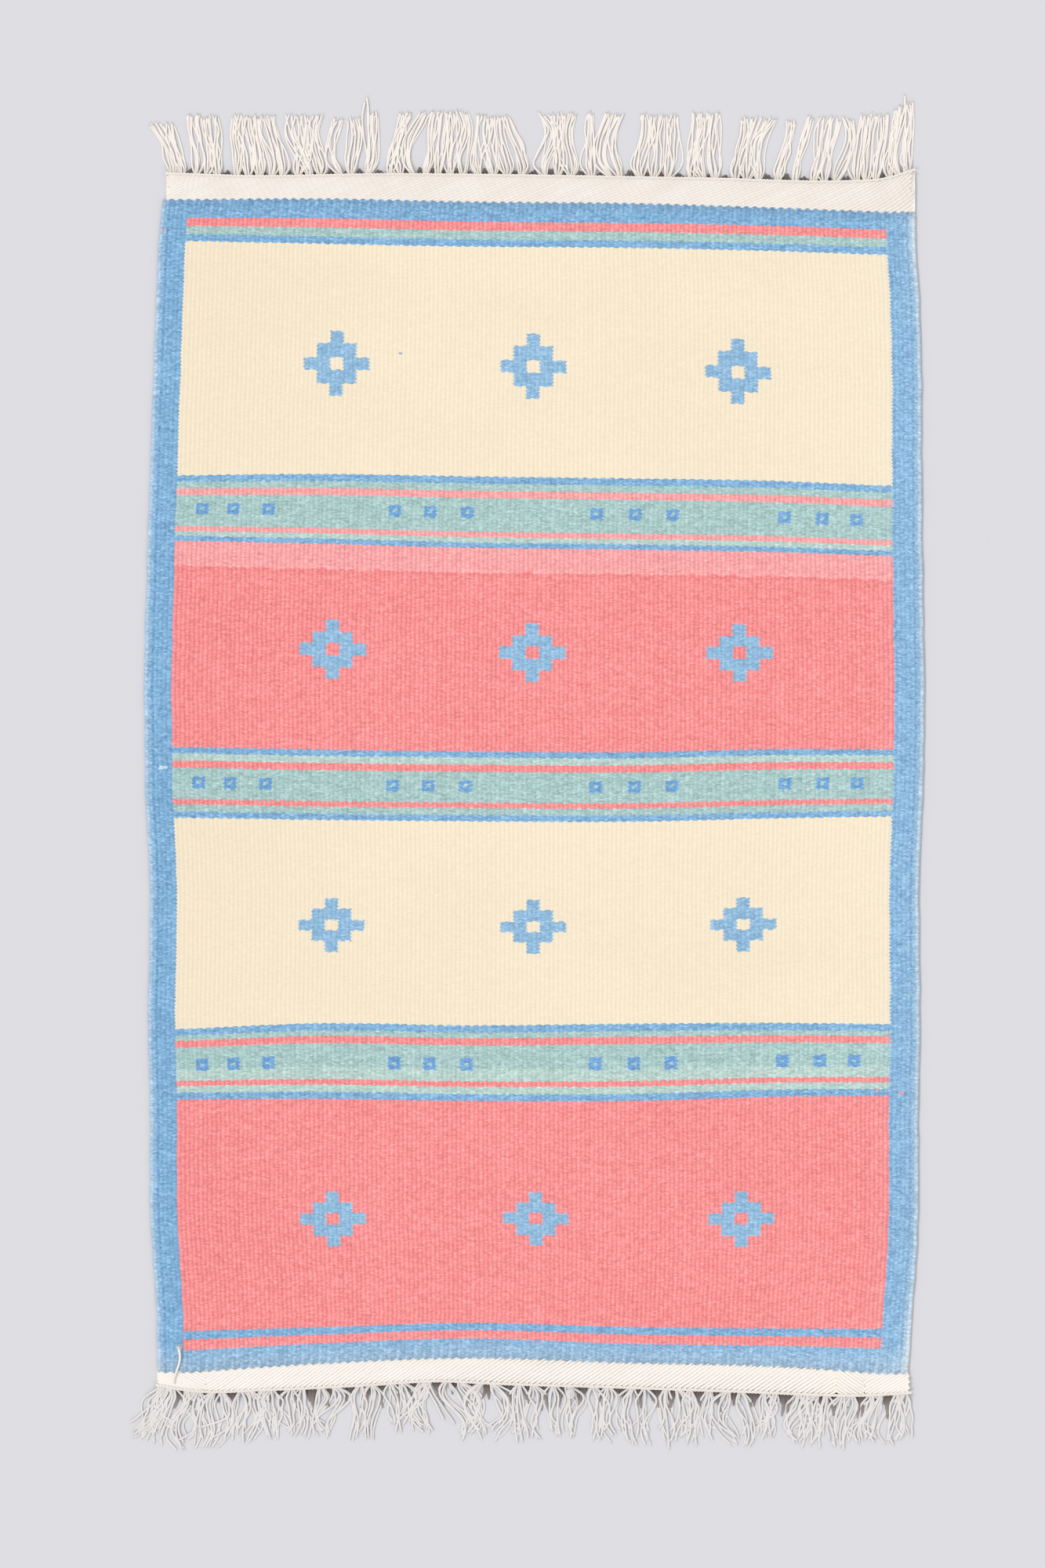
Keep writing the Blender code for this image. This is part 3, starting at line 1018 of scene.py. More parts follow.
woven_cotton = cloth_material()
cloth = run_tree(
    sheet,
    ribs_tree,
    "woven_cloth",
    half_thickness=1.5 * MM,
    groove_depth=0.34 * MM,
    selvedge_ribs=SELVEDGE_RIBS,
    unevenness=0.18 * MM,
    material=woven_cotton,
)

# %% [markdown]
# ## Yarn from a path
# Fringe, plait and cord are all yarn that follows a path. So one tree sweeps a small ring along any
# curve. It writes two attributes for the twist: how far along the yarn a point is, and which way it
# faces around it. The path's own radius thins or swells the yarn, and the tree can press it flat.

# %% Tree that sweeps yarn


def ring_with_angle(tree, sides, flatness):
    """A unit ring, pressed flat, whose points know the way they face."""
    ring = add_node(tree, "GeometryNodeCurvePrimitiveCircle", sides, mode="RADIUS")
    ring.inputs["Radius"].default_value = 1.0
    share = add_node(tree, "GeometryNodeSplineParameter").outputs["Factor"]
    angle = times(tree, share, math.tau)
    facing = combine(tree, math_node(tree, "COSINE", angle), math_node(tree, "SINE", angle))
    marked = store(tree, ring.outputs[0], "around", facing, "FLOAT_VECTOR")
    pressed = add_node(tree, "GeometryNodeTransform", marked)
    tree.links.new(combine(tree, 1.0, flatness, 1.0), pressed.inputs["Scale"])
    return pressed.outputs[0]


def resample(tree, curve, step):
    finer = add_node(tree, "GeometryNodeResampleCurve", mode="LENGTH")
    tree.links.new(curve, finer.inputs["Curve"])
    tree.links.new(step, finer.inputs["Length"])
    return finer.outputs[0]


def sweep(tree, curve, sides, radius, flatness=1.0):
    length = add_node(tree, "GeometryNodeSplineParameter").outputs["Length"]
    marked = store(tree, curve, "along", math_node(tree, "DIVIDE", length, MM))
    which = add_node(tree, "FunctionNodeRandomValue", data_type="FLOAT")
    marked = store(tree, marked, "strand", which.outputs[1], domain="CURVE")
    size = times(tree, radius, add_node(tree, "GeometryNodeInputRadius").outputs[0])
    swept = tree.nodes.new("GeometryNodeCurveToMesh")
    tree.links.new(marked, swept.inputs["Curve"])
    tree.links.new(size, swept.inputs["Scale"])
    tree.links.new(ring_with_angle(tree, sides, flatness), swept.inputs["Profile Curve"])
    swept.inputs["Fill Caps"].default_value = True
    return swept.outputs[0]


def yarn_tree():
    inputs = [
        ("Geometry", "geometry"),
        ("Radius", "value"),
        ("Flatness", "value"),
        ("Sides", "whole"),
        ("Step", "value"),
        ("Material", "material"),
    ]
    tree, given, result = new_tree("sweep_yarn", "GeometryNodeTree", inputs, [("Geometry", "geometry")])
    finer = resample(tree, given["Geometry"], given["Step"])
    swept = sweep(tree, finer, given["Sides"], given["Radius"], given["Flatness"])
    close_tree(tree, swept, given["Material"], result)
    return tree


yarns_tree = yarn_tree()
print("nodes in the yarn tree:", len(yarns_tree.nodes))

# %% [markdown]
# Spun cotton is matt and off-white. Its plies slant round it, with a soft shade painted into the
# groove, and no two strands are quite the same tone. The same recipe serves the plait, the cord and
# the fringe, with a little more or less grey and a longer or shorter turn. On the fringe yarns the
# first stretch is painted darker, as shade near the heading.

# %% Yarn material


def yarn_material(name, colour, shade, start, start_length, turn, painted_groove_shade, groove_depth):
    """Spun yarn. It takes its start colour at the beginning of its path, and its own further on."""
    made, tree, shader = new_material(name, roughness=0.95)
    plies = use_group(
        tree,
        twist,
        along=attribute(tree, "along", "Fac"),
        around=attribute(tree, "around", "Vector"),
        turn_length=turn,
        plies=2.0,
    )
    fibres = use_group(tree, fibre, place=object_place(tree), fibre_scale=1500.0, patch_scale=45.0)
    # Painted shade in the ply grooves, then random fibre, patch and strand tone
    tone = times(tree, plies["Groove"], painted_groove_shade)
    tone = scale_and_add(tree, fibres["Fibre"], 0.12, tone)
    tone = scale_and_add(tree, fibres["Patch"], 0.18, tone)
    tone = scale_and_add(tree, attribute(tree, "strand", "Fac"), 0.16, tone)
    mixed = mix_colour(tree, plus(tree, tone, 0.0, clamp=True), opaque(colour), opaque(shade))
    # The start colour is painted shade on the fringe yarns, darker where they leave the heading
    from_start = map_range(tree, attribute(tree, "along", "Fac"), 0.0, start_length, 0.0, 1.0)
    mixed = mix_colour(tree, from_start, opaque(start), mixed)
    tree.links.new(mixed, shader.inputs["Base Color"])
    height = scale_and_add(tree, fibres["Fibre"], 0.25, plies["Height"])
    relief(tree, shader, height, strength=0.7, depth=groove_depth)
    soft_cotton(shader)
    return made


# Each cotton has its own tone; a darker tone, mixed in as painted shade in the ply grooves and as
# random fibre and strand tone; and the tone of its first stretch, darker on the fringe yarns as
# painted shade near the heading
WARM = seen(256, 249, 242), seen(237, 228, 219), seen(234, 222, 211)
GREY = seen(238, 235, 234), seen(219, 214, 212), seen(232, 224, 219)
PLAIT = seen(261, 255, 249), seen(246, 238, 230), seen(260, 252, 242)
# The far plait: duller worn cotton, with darker painted shade in its grooves
WORN_GROOVE_SHADED = seen(255, 248, 241), seen(229, 217, 204), seen(252, 244, 235)
# Dark cotton for the wedges of painted shade between the fringe bunches, darkest at the cord
PAINTED_SHADE_TONES = seen(166, 158, 156), seen(136, 127, 124), seen(106, 94, 89)
FRAYED = seen(264, 260, 256), seen(252, 247, 242), seen(264, 260, 256)
combed_cotton = yarn_material("combed_cotton", *WARM, 9.0, 2.6, 0.10, 0.05)
tangled_cotton = yarn_material("tangled_cotton", *GREY, 9.0, 2.6, 0.10, 0.05)
plait_cotton = yarn_material("plait_cotton", *PLAIT, 14.0, 4.5, 0.20, 0.13)
worn_groove_shaded_cotton = yarn_material("worn_groove_shaded_cotton", *WORN_GROOVE_SHADED, 14.0, 4.5, 0.30, 0.13)
painted_shade_cotton = yarn_material("painted_shade_cotton", *PAINTED_SHADE_TONES, 16.0, 2.6, 0.1, 0.05)
frayed_cotton = yarn_material("frayed_cotton", *FRAYED, 1.0, 2.6, 0.0, 0.02)
print("yarn finishes:", combed_cotton.name, tangled_cotton.name, plait_cotton.name)

# %% [markdown]
# ## The edge cord and the headings
# Along the outer edge of each heading runs a thin two-ply cord. The heading itself is a plait: each
# warp end leaves the cloth, slants over its neighbours and dives under the cord. Building it from
# slanted yarns that lie side by side gives the fine diagonal ribs of the real one, and near the two
# ends of the near heading the slant turns over, as the plait was started from there. The far plait is
# of fuller yarn and more worn, so it is duller, and more shade is painted into its grooves.

# %% Lines of the heading and the cord
Edge = namedtuple("Edge", "x y")
CORD_FAR = [
    Edge(-283.0, 469.5),
    Edge(-230.0, 467.5),
    Edge(-110.0, 468.7),
    Edge(11.0, 467.5),
    Edge(132.0, 465.4),
    Edge(250.0, 463.6),
    Edge(266.0, 464.5),
    Edge(293.0, 472.5),
]
CORD_NEAR = [
    Edge(-290.5, -462.0),
    Edge(-266.0, -466.3),
    Edge(-200.0, -465.5),
    Edge(-125.0, -462.0),
    Edge(-75.0, -459.0),
    Edge(-30.0, -461.0),
    Edge(60.0, -463.7),
    Edge(162.0, -467.3),
    Edge(266.0, -469.7),
    Edge(290.0, -468.0),
]


def cord_y(cord, x):
    return float(smooth([point.x for point in cord], [point.y for point in cord], x))


def curve_object(name, paths):
    """One curve object with a smooth spline for each path. A path is a list of (x, y, z, thickness)."""
    curve = bpy.data.curves.new(name, "CURVE")
    curve.dimensions = "3D"
    curve.twist_mode = "Z_UP"
    for path in paths:
        spline = curve.splines.new("NURBS")
        spline.points.add(len(path) - 1)
        spline.use_endpoint_u = True
        spline.order_u = 3
        spline.resolution_u = 4
        for point, (x, y, z, thickness) in zip(spline.points, path):
            point.co = (*place(x, y, z), 1.0)
            point.radius = thickness
    return new_object(name, curve)


print("far cord runs from y", CORD_FAR[0].y, "to", CORD_FAR[-1].y)

# %% Plaited headings
PLAIT_HALF_HEIGHT = 1.2
PLAIT_STATIONS = 19
PLAIT_JITTER = 0.25
PLAIT_MARGIN = 1.0
PLAIT_UNDER_CLOTH = 1.2
PLAIT_UNDER_CORD = 0.15
PLAIT_BOW, PLAIT_RISE = 0.35, 0.9
PLAIT_THINNEST = 0.82
NEAR_TURNS = (-253.0, 232.0, 254.0)
End = namedtuple("End", "name side cord woven left right slant pitch radius lift turns cotton")
ENDS = [
    End("far", 1, CORD_FAR, WOVEN_FAR, -282.0, 291.0, 50.0, 5.2, 1.75, 1.45, (), worn_groove_shaded_cotton),
    End("near", -1, CORD_NEAR, WOVEN_NEAR, -289.0, 288.0, 30.0, 4.2, 1.4, 1.42, NEAR_TURNS, plait_cotton),
]


def plait_paths(end, left, right, slant, rng):
    """Slanted yarns from the cloth's end to the cord, side by side over one stretch of the heading."""
    paths = []
    for x in np.arange(left - end.slant, right + end.slant, end.pitch):
        path = []
        for share in np.linspace(0.0, 1.0, PLAIT_STATIONS):
            at = x + slant * end.side * (share - 0.5) + rng.uniform(-PLAIT_JITTER, PLAIT_JITTER)
            if not left - PLAIT_MARGIN <= at <= right + PLAIT_MARGIN:
                continue
            inner = weft_y(end.woven, at) - end.side * PLAIT_UNDER_CLOTH
            outer = cord_y(end.cord, at) + end.side * PLAIT_UNDER_CORD
            bow = math.sin(math.pi * share)
            height = end.lift + PLAIT_BOW * bow + PLAIT_RISE * share
            thickness = PLAIT_THINNEST + (1.0 - PLAIT_THINNEST) * bow
            path.append((at, inner + (outer - inner) * share, height, thickness))
        if len(path) > 2:
            paths.append(path)
    return paths


plaits = []
for end in ENDS:
    rng = np.random.default_rng(21 + end.side)
    marks = [end.left, *end.turns, end.right]
    paths = []
    for number, (left, right) in enumerate(zip(marks, marks[1:])):
        turned_over = end.turns and number % 2 == 0
        paths += plait_paths(end, left, right, -end.slant if turned_over else end.slant, rng)
    source = curve_object("plait_path", paths)
    plaits.append(
        run_tree(
            source,
            yarns_tree,
            f"plait_{end.name}",
            radius=end.radius * MM,
            flatness=PLAIT_HALF_HEIGHT / end.radius,
            sides=6,
            step=1.6 * MM,
            material=end.cotton,
        )
    )
print("plaited yarns:", len(paths), "in the near heading")

# %% [markdown]
# A two-ply cord is two yarns wound round each other. The tree offsets the same path to opposite
# sides and turns the offset as it goes, which is the whole of rope making.

# %% Tree that twists a cord
STEPS_IN_A_TURN = 7.0
CORD_SIDES = 6
CORD_TURN = 5.5
CORD_STATIONS = 60


def cord_tree():
    inputs = [
        ("Geometry", "geometry"),
        ("Ply radius", "value"),
        ("Turn length", "value"),
        ("Material", "material"),
    ]
    tree, given, result = new_tree("twist_cord", "GeometryNodeTree", inputs, [("Geometry", "geometry")])
    step = math_node(tree, "DIVIDE", given["Turn length"], STEPS_IN_A_TURN)
    finer = resample(tree, given["Geometry"], step)
    length = add_node(tree, "GeometryNodeSplineParameter").outputs["Length"]
    turn = math_node(tree, "DIVIDE", times(tree, length, math.tau), given["Turn length"])
    joined = tree.nodes.new("GeometryNodeJoinGeometry")
    for phase in (0.0, math.pi):
        angle = plus(tree, turn, phase)
        sideways = times(tree, math_node(tree, "COSINE", angle), given["Ply radius"])
        upward = times(tree, math_node(tree, "SINE", angle), given["Ply radius"])
        moved = add_node(tree, "GeometryNodeSetPosition", finer)
        tree.links.new(combine(tree, 0.0, sideways, upward), moved.inputs["Offset"])
        tree.links.new(moved.outputs[0], joined.inputs[0])
    sides = tree.nodes.new("FunctionNodeInputInt")
    sides.integer = CORD_SIDES
    swept = sweep(tree, joined.outputs[0], sides.outputs[0], given["Ply radius"])
    close_tree(tree, swept, given["Material"], result)
    return tree


cords_tree = cord_tree()
CORD_PLY_RADIUS = 0.6
CORD_HEIGHT = 3.3
cords = []
for end in ENDS:
    stations = np.linspace(end.cord[0].x, end.cord[-1].x, CORD_STATIONS)
    path = [(x, cord_y(end.cord, x), CORD_HEIGHT, 1.0) for x in stations]
    source = curve_object("cord_path", [path])
    cords.append(
        run_tree(
            source,
            cords_tree,
            f"edge_cord_{end.name}",
            ply_radius=CORD_PLY_RADIUS * MM,
            turn_length=CORD_TURN * MM,
            material=plait_cotton,
        )
    )

# %% [markdown]
# ## The fringe
# Each bunch of about seven warp ends is caught by the cord, spreads within a few millimetres and then
# lies almost straight. The tips gather into loose groups, so gaps open between them. The table lists
# those groups. The far fringe lies combed, and the near one is tangled: its ends cross, swing and
# curl. Strands of one bunch lie on two levels, so that they can pass over each other.

# %% Groups of the fringe
Group = namedtuple("Group", "root_from root_to tip_from tip_to length bundles")
FRINGE_FAR = [
    Group(-281.5, -267.3, -298.0, -275.5, 40, 2),
    Group(-263.6, -240.1, -268.5, -242.0, 47, 3),
    Group(-232.8, -189.4, -234.5, -199.0, 48, 5),
    Group(-186.3, -159.2, -192.5, -161.5, 48, 3),
    Group(-152.5, -137.4, -158.0, -132.5, 45, 2),
    Group(-130.8, -124.7, -130.0, -118.5, 49, 1),
    Group(-114.5, -100.0, -105.5, -94.0, 48, 2),
    Group(-97.5, -50.4, -89.0, -49.5, 50, 5),
    Group(-48.0, -4.5, -45.0, -18.0, 47, 4),
    Group(2.7, 33.5, 2.0, 33.5, 50, 3),
    Group(40.8, 47.4, 39.0, 46.5, 51, 1),
    Group(54.7, 69.8, 53.5, 70.0, 50, 2),
    Group(76.4, 107.8, 80.5, 112.0, 50, 3),
    Group(116.3, 143.4, 121.0, 144.0, 52, 3),
    Group(150.7, 176.7, 158.5, 188.0, 49, 3),
    Group(184.5, 190.6, 193.0, 203.0, 48, 1),
    Group(197.8, 203.8, 210.0, 215.5, 51, 1),
    Group(210.5, 236.5, 218.5, 246.5, 51, 3),
    Group(244.9, 266.1, 251.0, 273.5, 53, 3),
    Group(270.3, 290.8, 276.5, 292.5, 55, 3),
]
FRINGE_NEAR = [
    Group(-290.0, -276.5, -309.5, -286.0, 44, 4),
    Group(-271.0, -254.5, -277.5, -258.0, 47, 2),
    Group(-250.5, -236.5, -256.5, -242.0, 45, 2),
    Group(-228.5, -216.0, -234.5, -216.0, 40, 2),
    Group(-211.0, -199.0, -207.5, -195.5, 39, 2),
    Group(-191.0, -173.5, -188.5, -172.5, 39, 2),
    Group(-170.0, -148.5, -170.5, -155.5, 40, 2),
    Group(-138.5, -120.5, -143.5, -122.5, 44, 2),
    Group(-114.5, -97.5, -109.5, -98.5, 39, 2),
    Group(-90.0, -77.5, -91.5, -80.5, 43, 2),
    Group(-71.5, -52.5, -57.5, -47.0, 46, 2),
    Group(-44.5, -28.0, -44.5, -25.0, 46, 2),
    Group(-16.5, 4.0, -17.5, 5.0, 46, 2),
    Group(9.5, 30.0, 9.5, 33.0, 42, 2),
    Group(40.0, 62.5, 42.5, 63.0, 45, 2),
    Group(71.0, 89.5, 69.0, 93.0, 44, 2),
    Group(97.0, 124.0, 99.5, 126.0, 46, 3),
    Group(132.0, 137.0, 128.5, 139.0, 41, 1),
    Group(143.5, 164.5, 149.5, 169.5, 43, 2),
    Group(173.5, 189.0, 172.5, 186.0, 36, 2),
    Group(199.5, 227.5, 195.0, 222.0, 42, 4),
    Group(233.0, 248.0, 226.5, 243.0, 43, 2),
    Group(256.0, 269.5, 247.0, 263.0, 40, 2),
    Group(276.0, 288.5, 268.0, 289.0, 41, 2),
]
ROOT_WIDTH = 4.2
FLATNESS = 0.4
Habit = namedtuple("Habit", "strands radius sway cross curl shortest opening bulge material")
COMBED = Habit(7, 0.78, 2.9, 0.45, 0.0, 0.92, 10.0, 0.0, combed_cotton)
TANGLED = Habit(7, 0.90, 4.2, 0.60, 0.35, 0.72, 8.0, 0.8, tangled_cotton)
for side_name, groups in (("far", FRINGE_FAR), ("near", FRINGE_NEAR)):
    print(side_name, "bundles:", sum(group.bundles for group in groups))

# %% [markdown]
# Between each two bunches the hollow lies in the shade of the heading, and that shade is painted:
# each gap gets a few short wedges of dark cotton, flat and tapering, darkest at the cord and paler
# further out, the middle one longest, so they show as a hollow beside every root.

# %% Painted shade between the bunches
WEDGE_RADIUS = 1.7
WEDGE_FLATNESS = 0.35
WEDGE_LENGTH = {"far": 6.5, "near": 20.0}
WEDGES_IN_A_GAP = ((0.28, 0.55), (0.42, 1.0), (0.58, 0.9), (0.72, 0.5))
WEDGE_STATIONS = (0.0, 0.2, 0.45, 0.75, 1.0)
WEDGE_FULL_GAP = 11.0
WEDGE_SCATTER = 0.12
WEDGE_TAPER = 0.7
WEDGE_HEIGHT = 0.7


def bundle_root(group, bundle):
    return group.root_from + (group.root_to - group.root_from) * (bundle + 0.5) / group.bundles


# Wedges of painted shade, a few in each gap between two bunch roots
def shade_wedge_paths(end, groups, rng):
    paths = []
    roots = [bundle_root(group, bundle) for group in groups for bundle in range(group.bundles)]
    for left, right in zip(roots, roots[1:]):
        gap = right - left
        longest = WEDGE_LENGTH[end.name] * min(1.0, gap / WEDGE_FULL_GAP) * rng.uniform(0.6, 1.2)
        for share, part in WEDGES_IN_A_GAP:
            root = left + gap * share
            length = longest * part * rng.uniform(0.7, 1.1)
            lean = (0.5 - share) * gap * 0.5 + rng.normal(0.0, length * WEDGE_SCATTER)
            path = []
            for along in WEDGE_STATIONS:
                x = root + lean * along * along
                y = cord_y(end.cord, root) + end.side * length * along
                path.append((x, y, WEDGE_HEIGHT, 1.0 - WEDGE_TAPER * along * along))
            paths.append(path)
    return paths


shade_wedges = []
for end, groups in zip(ENDS, (FRINGE_FAR, FRINGE_NEAR)):
    shade_wedges.append(
        run_tree(
            curve_object("shade_wedge_paths", shade_wedge_paths(end, groups, np.random.default_rng(8))),
            yarns_tree,
            f"painted_shade_wedges_{end.name}",
            radius=WEDGE_RADIUS * MM,
            flatness=WEDGE_FLATNESS,
            sides=6,
            step=1.2 * MM,
            material=painted_shade_cotton,
        )
    )

# %% Strands of a group
ROOT_START = 0.6
ROOT_HEIGHT = 2.6
LEVEL_HEIGHT = 0.58
MOST_SPREAD = 2.6
STRANDS_IN_A_CLUMP = 6
CLUMPED = 0.8
STATIONS = (0.0, 0.03, 0.07, 0.12, 0.18, 0.26, 0.36, 0.48, 0.62, 0.76, 0.88, 1.0)
WAVE_SHARE = 0.35
RIPPLE_SIZE, RIPPLE_TURN = 0.5, 16.0
CURL_SIZE, CURL_FROM = 9.0, 0.6
BULGE_WIDTH = 6.0
PINCH = 1.3
ARCH_REACH = 11.0
ROOT_SETTLES_BY = 0.2
LEVEL_SINKS = 0.25


def eased(share):
    """The same share, with a soft start and a soft end."""
    return share * share * (3.0 - 2.0 * share)


def strand_path(strand, cord, side, level, habit, drift, rng):
    """One strand, from inside the heading's edge to its tip on the floor. It drifts with its bunch."""
    root, offset, spread, tip, length = strand
    swing = drift[0] + rng.normal(0.0, habit.sway * 0.5)
    wave = drift[1] + rng.normal(0.0, habit.sway * WAVE_SHARE)
    ripple, phase = rng.normal(0.0, RIPPLE_SIZE), rng.uniform(0.0, math.tau)
    curl = rng.normal(0.0, CURL_SIZE) if rng.random() < habit.curl else 0.0
    root_y = cord_y(cord, root)
    path = [(root, root_y - side * ROOT_START, ROOT_HEIGHT - 0.3, 0.8)]
    for along in STATIONS:
        reach = along * length
        settled = min(1.0, along / ROOT_SETTLES_BY)
        pinch = max(0.0, 1.0 - reach / habit.opening) ** PINCH
        lean = eased(along) * 0.6 + along * 0.4
        x = root * pinch + (spread * (1.0 - lean) + tip * lean) * (1.0 - pinch)
        x += habit.bulge * BULGE_WIDTH * offset * math.sin(math.pi * min(1.0, along * 1.6)) ** 2
        x += swing * math.sin(math.pi * along) + wave * math.sin(math.tau * along)
        x += ripple * math.sin(phase + along * RIPPLE_TURN) * settled
        x += curl * max(0.0, along - CURL_FROM) ** 2 * 4.0
        y = root_y + side * reach * (1.0 - abs(curl) * 0.012 * along)
        z = habit.radius * FLATNESS + level * LEVEL_HEIGHT * (1.0 - LEVEL_SINKS * along)
        z += (ROOT_HEIGHT - habit.radius * FLATNESS) * eased(max(0.0, 1.0 - reach / ARCH_REACH))
        path.append((x, y, z, 0.9 + 0.1 * settled))
    return path


def group_paths(group, low, high, cord, side, habit, rng):
    """The strands of one group. At first they fill the cord from low to high."""
    paths = []
    count = group.bundles * habit.strands
    moved = np.repeat(rng.normal(0.0, habit.cross * 4.0, group.bundles), habit.strands)
    drifts = rng.normal(0.0, (habit.sway, habit.sway * 0.45), (group.bundles, 2))
    order = np.arange(count) + moved + rng.normal(0.0, habit.cross * 2.5, count)
    tips = np.empty(count)
    tips[np.argsort(order)] = (np.arange(count) + 0.5) / count
    clumps = max(1, round(count / STRANDS_IN_A_CLUMP))
    middles = (np.floor(tips * clumps) + 0.5) / clumps
    tips = middles + (tips - middles) * CLUMPED
    for number in range(count):
        bundle, lane = divmod(number, habit.strands)
        middle = bundle_root(group, bundle)
        offset = (lane + 0.5) / habit.strands - 0.5 + rng.normal(0.0, 0.04)
        spread = low + (high - low) * (number + 0.5) / count
        tip = group.tip_from + (group.tip_to - group.tip_from) * tips[number]
        length = group.length * rng.uniform(habit.shortest, 1.0)
        strand = (middle + offset * ROOT_WIDTH, offset, spread + rng.normal(0.0, 0.35), tip, length)
        level = lane % 2
        paths.append(strand_path(strand, cord, side, level, habit, drifts[bundle], rng))
    return paths


print("strands at the far end:", COMBED.strands * sum(group.bundles for group in FRINGE_FAR))

# %% [markdown]
# A cut cotton end frays: its plies open into a few fine hairs. A second tree puts a small brush of
# them on the last point of every strand, each hair turned by its own random angle, with a fixed seed.

# %% Tree that frays the tips
HAIR_SIDES = 3
HAIR_TAPER = 0.75
HAIR_SCATTER = ((-1.0, -1.0, -0.15), (1.0, 1.0, 0.5))
SHORTEST_HAIR = 0.5


def tip_points(tree, curve, count):
    """The last point of every strand, several times over. Each knows which way its strand was going."""
    ends = tree.nodes.new("GeometryNodeCurveEndpointSelection")
    ends.inputs["Start Size"].default_value = 0
    ends.inputs["End Size"].default_value = 1
    tangent = add_node(tree, "GeometryNodeInputTangent").outputs[0]
    marked = store(tree, curve, "way", tangent, "FLOAT_VECTOR")
    marked = store(tree, marked, "is_tip", ends.outputs[0])
    points = add_node(tree, "GeometryNodeCurveToPoints", mode="EVALUATED")
    tree.links.new(marked, points.inputs["Curve"])
    is_tip = math_node(tree, "GREATER_THAN", named(tree, "is_tip"), 0.5)
    many = add_node(tree, "GeometryNodeDuplicateElements", domain="POINT")
    tree.links.new(points.outputs["Points"], many.inputs["Geometry"])
    tree.links.new(is_tip, many.inputs["Selection"])
    tree.links.new(count, many.inputs["Amount"])
    return many.outputs[0]


def one_hair(tree, length, radius):
    """A tapering hair one unit long, so an instance's scale is its length."""
    hair = tree.nodes.new("GeometryNodeCurvePrimitiveLine")
    hair.inputs["End"].default_value = (0.0, 0.0, 1.0)
    along = add_node(tree, "GeometryNodeSplineParameter").outputs["Factor"]
    ring = add_node(tree, "GeometryNodeCurvePrimitiveCircle", HAIR_SIDES, mode="RADIUS")
    tree.links.new(math_node(tree, "DIVIDE", radius, length), ring.inputs["Radius"])
    mesh = tree.nodes.new("GeometryNodeCurveToMesh")
    tree.links.new(hair.outputs[0], mesh.inputs["Curve"])
    tree.links.new(scale_and_add(tree, along, -HAIR_TAPER, 1.0), mesh.inputs["Scale"])
    tree.links.new(ring.outputs[0], mesh.inputs["Profile Curve"])
    mesh.inputs["Fill Caps"].default_value = True
    return mesh.outputs[0]


def hair_turn(tree, share, seed):
    """The strand's own way, pushed aside by a random vector, as a rotation."""
    scatter = add_node(tree, "FunctionNodeRandomValue", data_type="FLOAT_VECTOR")
    scatter.inputs["Min"].default_value, scatter.inputs["Max"].default_value = HAIR_SCATTER
    tree.links.new(seed, scatter.inputs["Seed"])
    aside = add_node(tree, "ShaderNodeVectorMath", operation="SCALE")
    tree.links.new(scatter.outputs[0], aside.inputs[0])
    tree.links.new(share, aside.inputs["Scale"])
    heading = add_node(tree, "ShaderNodeVectorMath", operation="ADD")
    tree.links.new(named(tree, "way", "FLOAT_VECTOR"), heading.inputs[0])
    tree.links.new(aside.outputs[0], heading.inputs[1])
    turned = add_node(tree, "FunctionNodeAlignRotationToVector", axis="Z")
    tree.links.new(heading.outputs[0], turned.inputs["Vector"])
    return turned.outputs[0]


def fray_tree():
    inputs = [
        ("Geometry", "geometry"),
        ("Hairs", "whole"),
        ("Hair length", "value"),
        ("Hair radius", "value"),
        ("Spread", "value"),
        ("Seed", "whole"),
        ("Material", "material"),
    ]
    tree, given, result = new_tree("fray_tips", "GeometryNodeTree", inputs, [("Geometry", "geometry")])
    points = tip_points(tree, given["Geometry"], given["Hairs"])
    hair = one_hair(tree, given["Hair length"], given["Hair radius"])
    turned = hair_turn(tree, given["Spread"], given["Seed"])
    longer = add_node(tree, "FunctionNodeRandomValue", data_type="FLOAT")
    longer.inputs[2].default_value = SHORTEST_HAIR
    longer.inputs[3].default_value = 1.0
    tree.links.new(given["Seed"], longer.inputs["Seed"])
    size = times(tree, longer.outputs[1], given["Hair length"])
    brush = tree.nodes.new("GeometryNodeInstanceOnPoints")
    tree.links.new(points, brush.inputs["Points"])
    tree.links.new(hair, brush.inputs["Instance"])
    tree.links.new(turned, brush.inputs["Rotation"])
    tree.links.new(size, brush.inputs["Scale"])
    close_tree(tree, brush.outputs[0], given["Material"], result)
    return tree


frays_tree = fray_tree()
print("nodes in the fray tree:", len(frays_tree.nodes))

# %% Make both fringes
Loner = namedtuple("Loner", "root tip length")
LONERS = {
    "far": [Loner(-127.5, -128.6, 59.5), Loner(-128.6, -130.6, 56.0), Loner(284.0, 285.5, 60.0)],
    "near": [Loner(-80.0, -62.0, 33.0), Loner(-84.0, -70.0, 30.0)],
}
STRAND_SIDES = 7
STRAND_STEP = 2.0
TIP_HAIRS = 6
HAIR_LENGTH = 2.8
HAIR_RADIUS = 0.14
HAIR_SPREAD = 0.45
SEED_FAR, SEED_NEAR = 11, 12


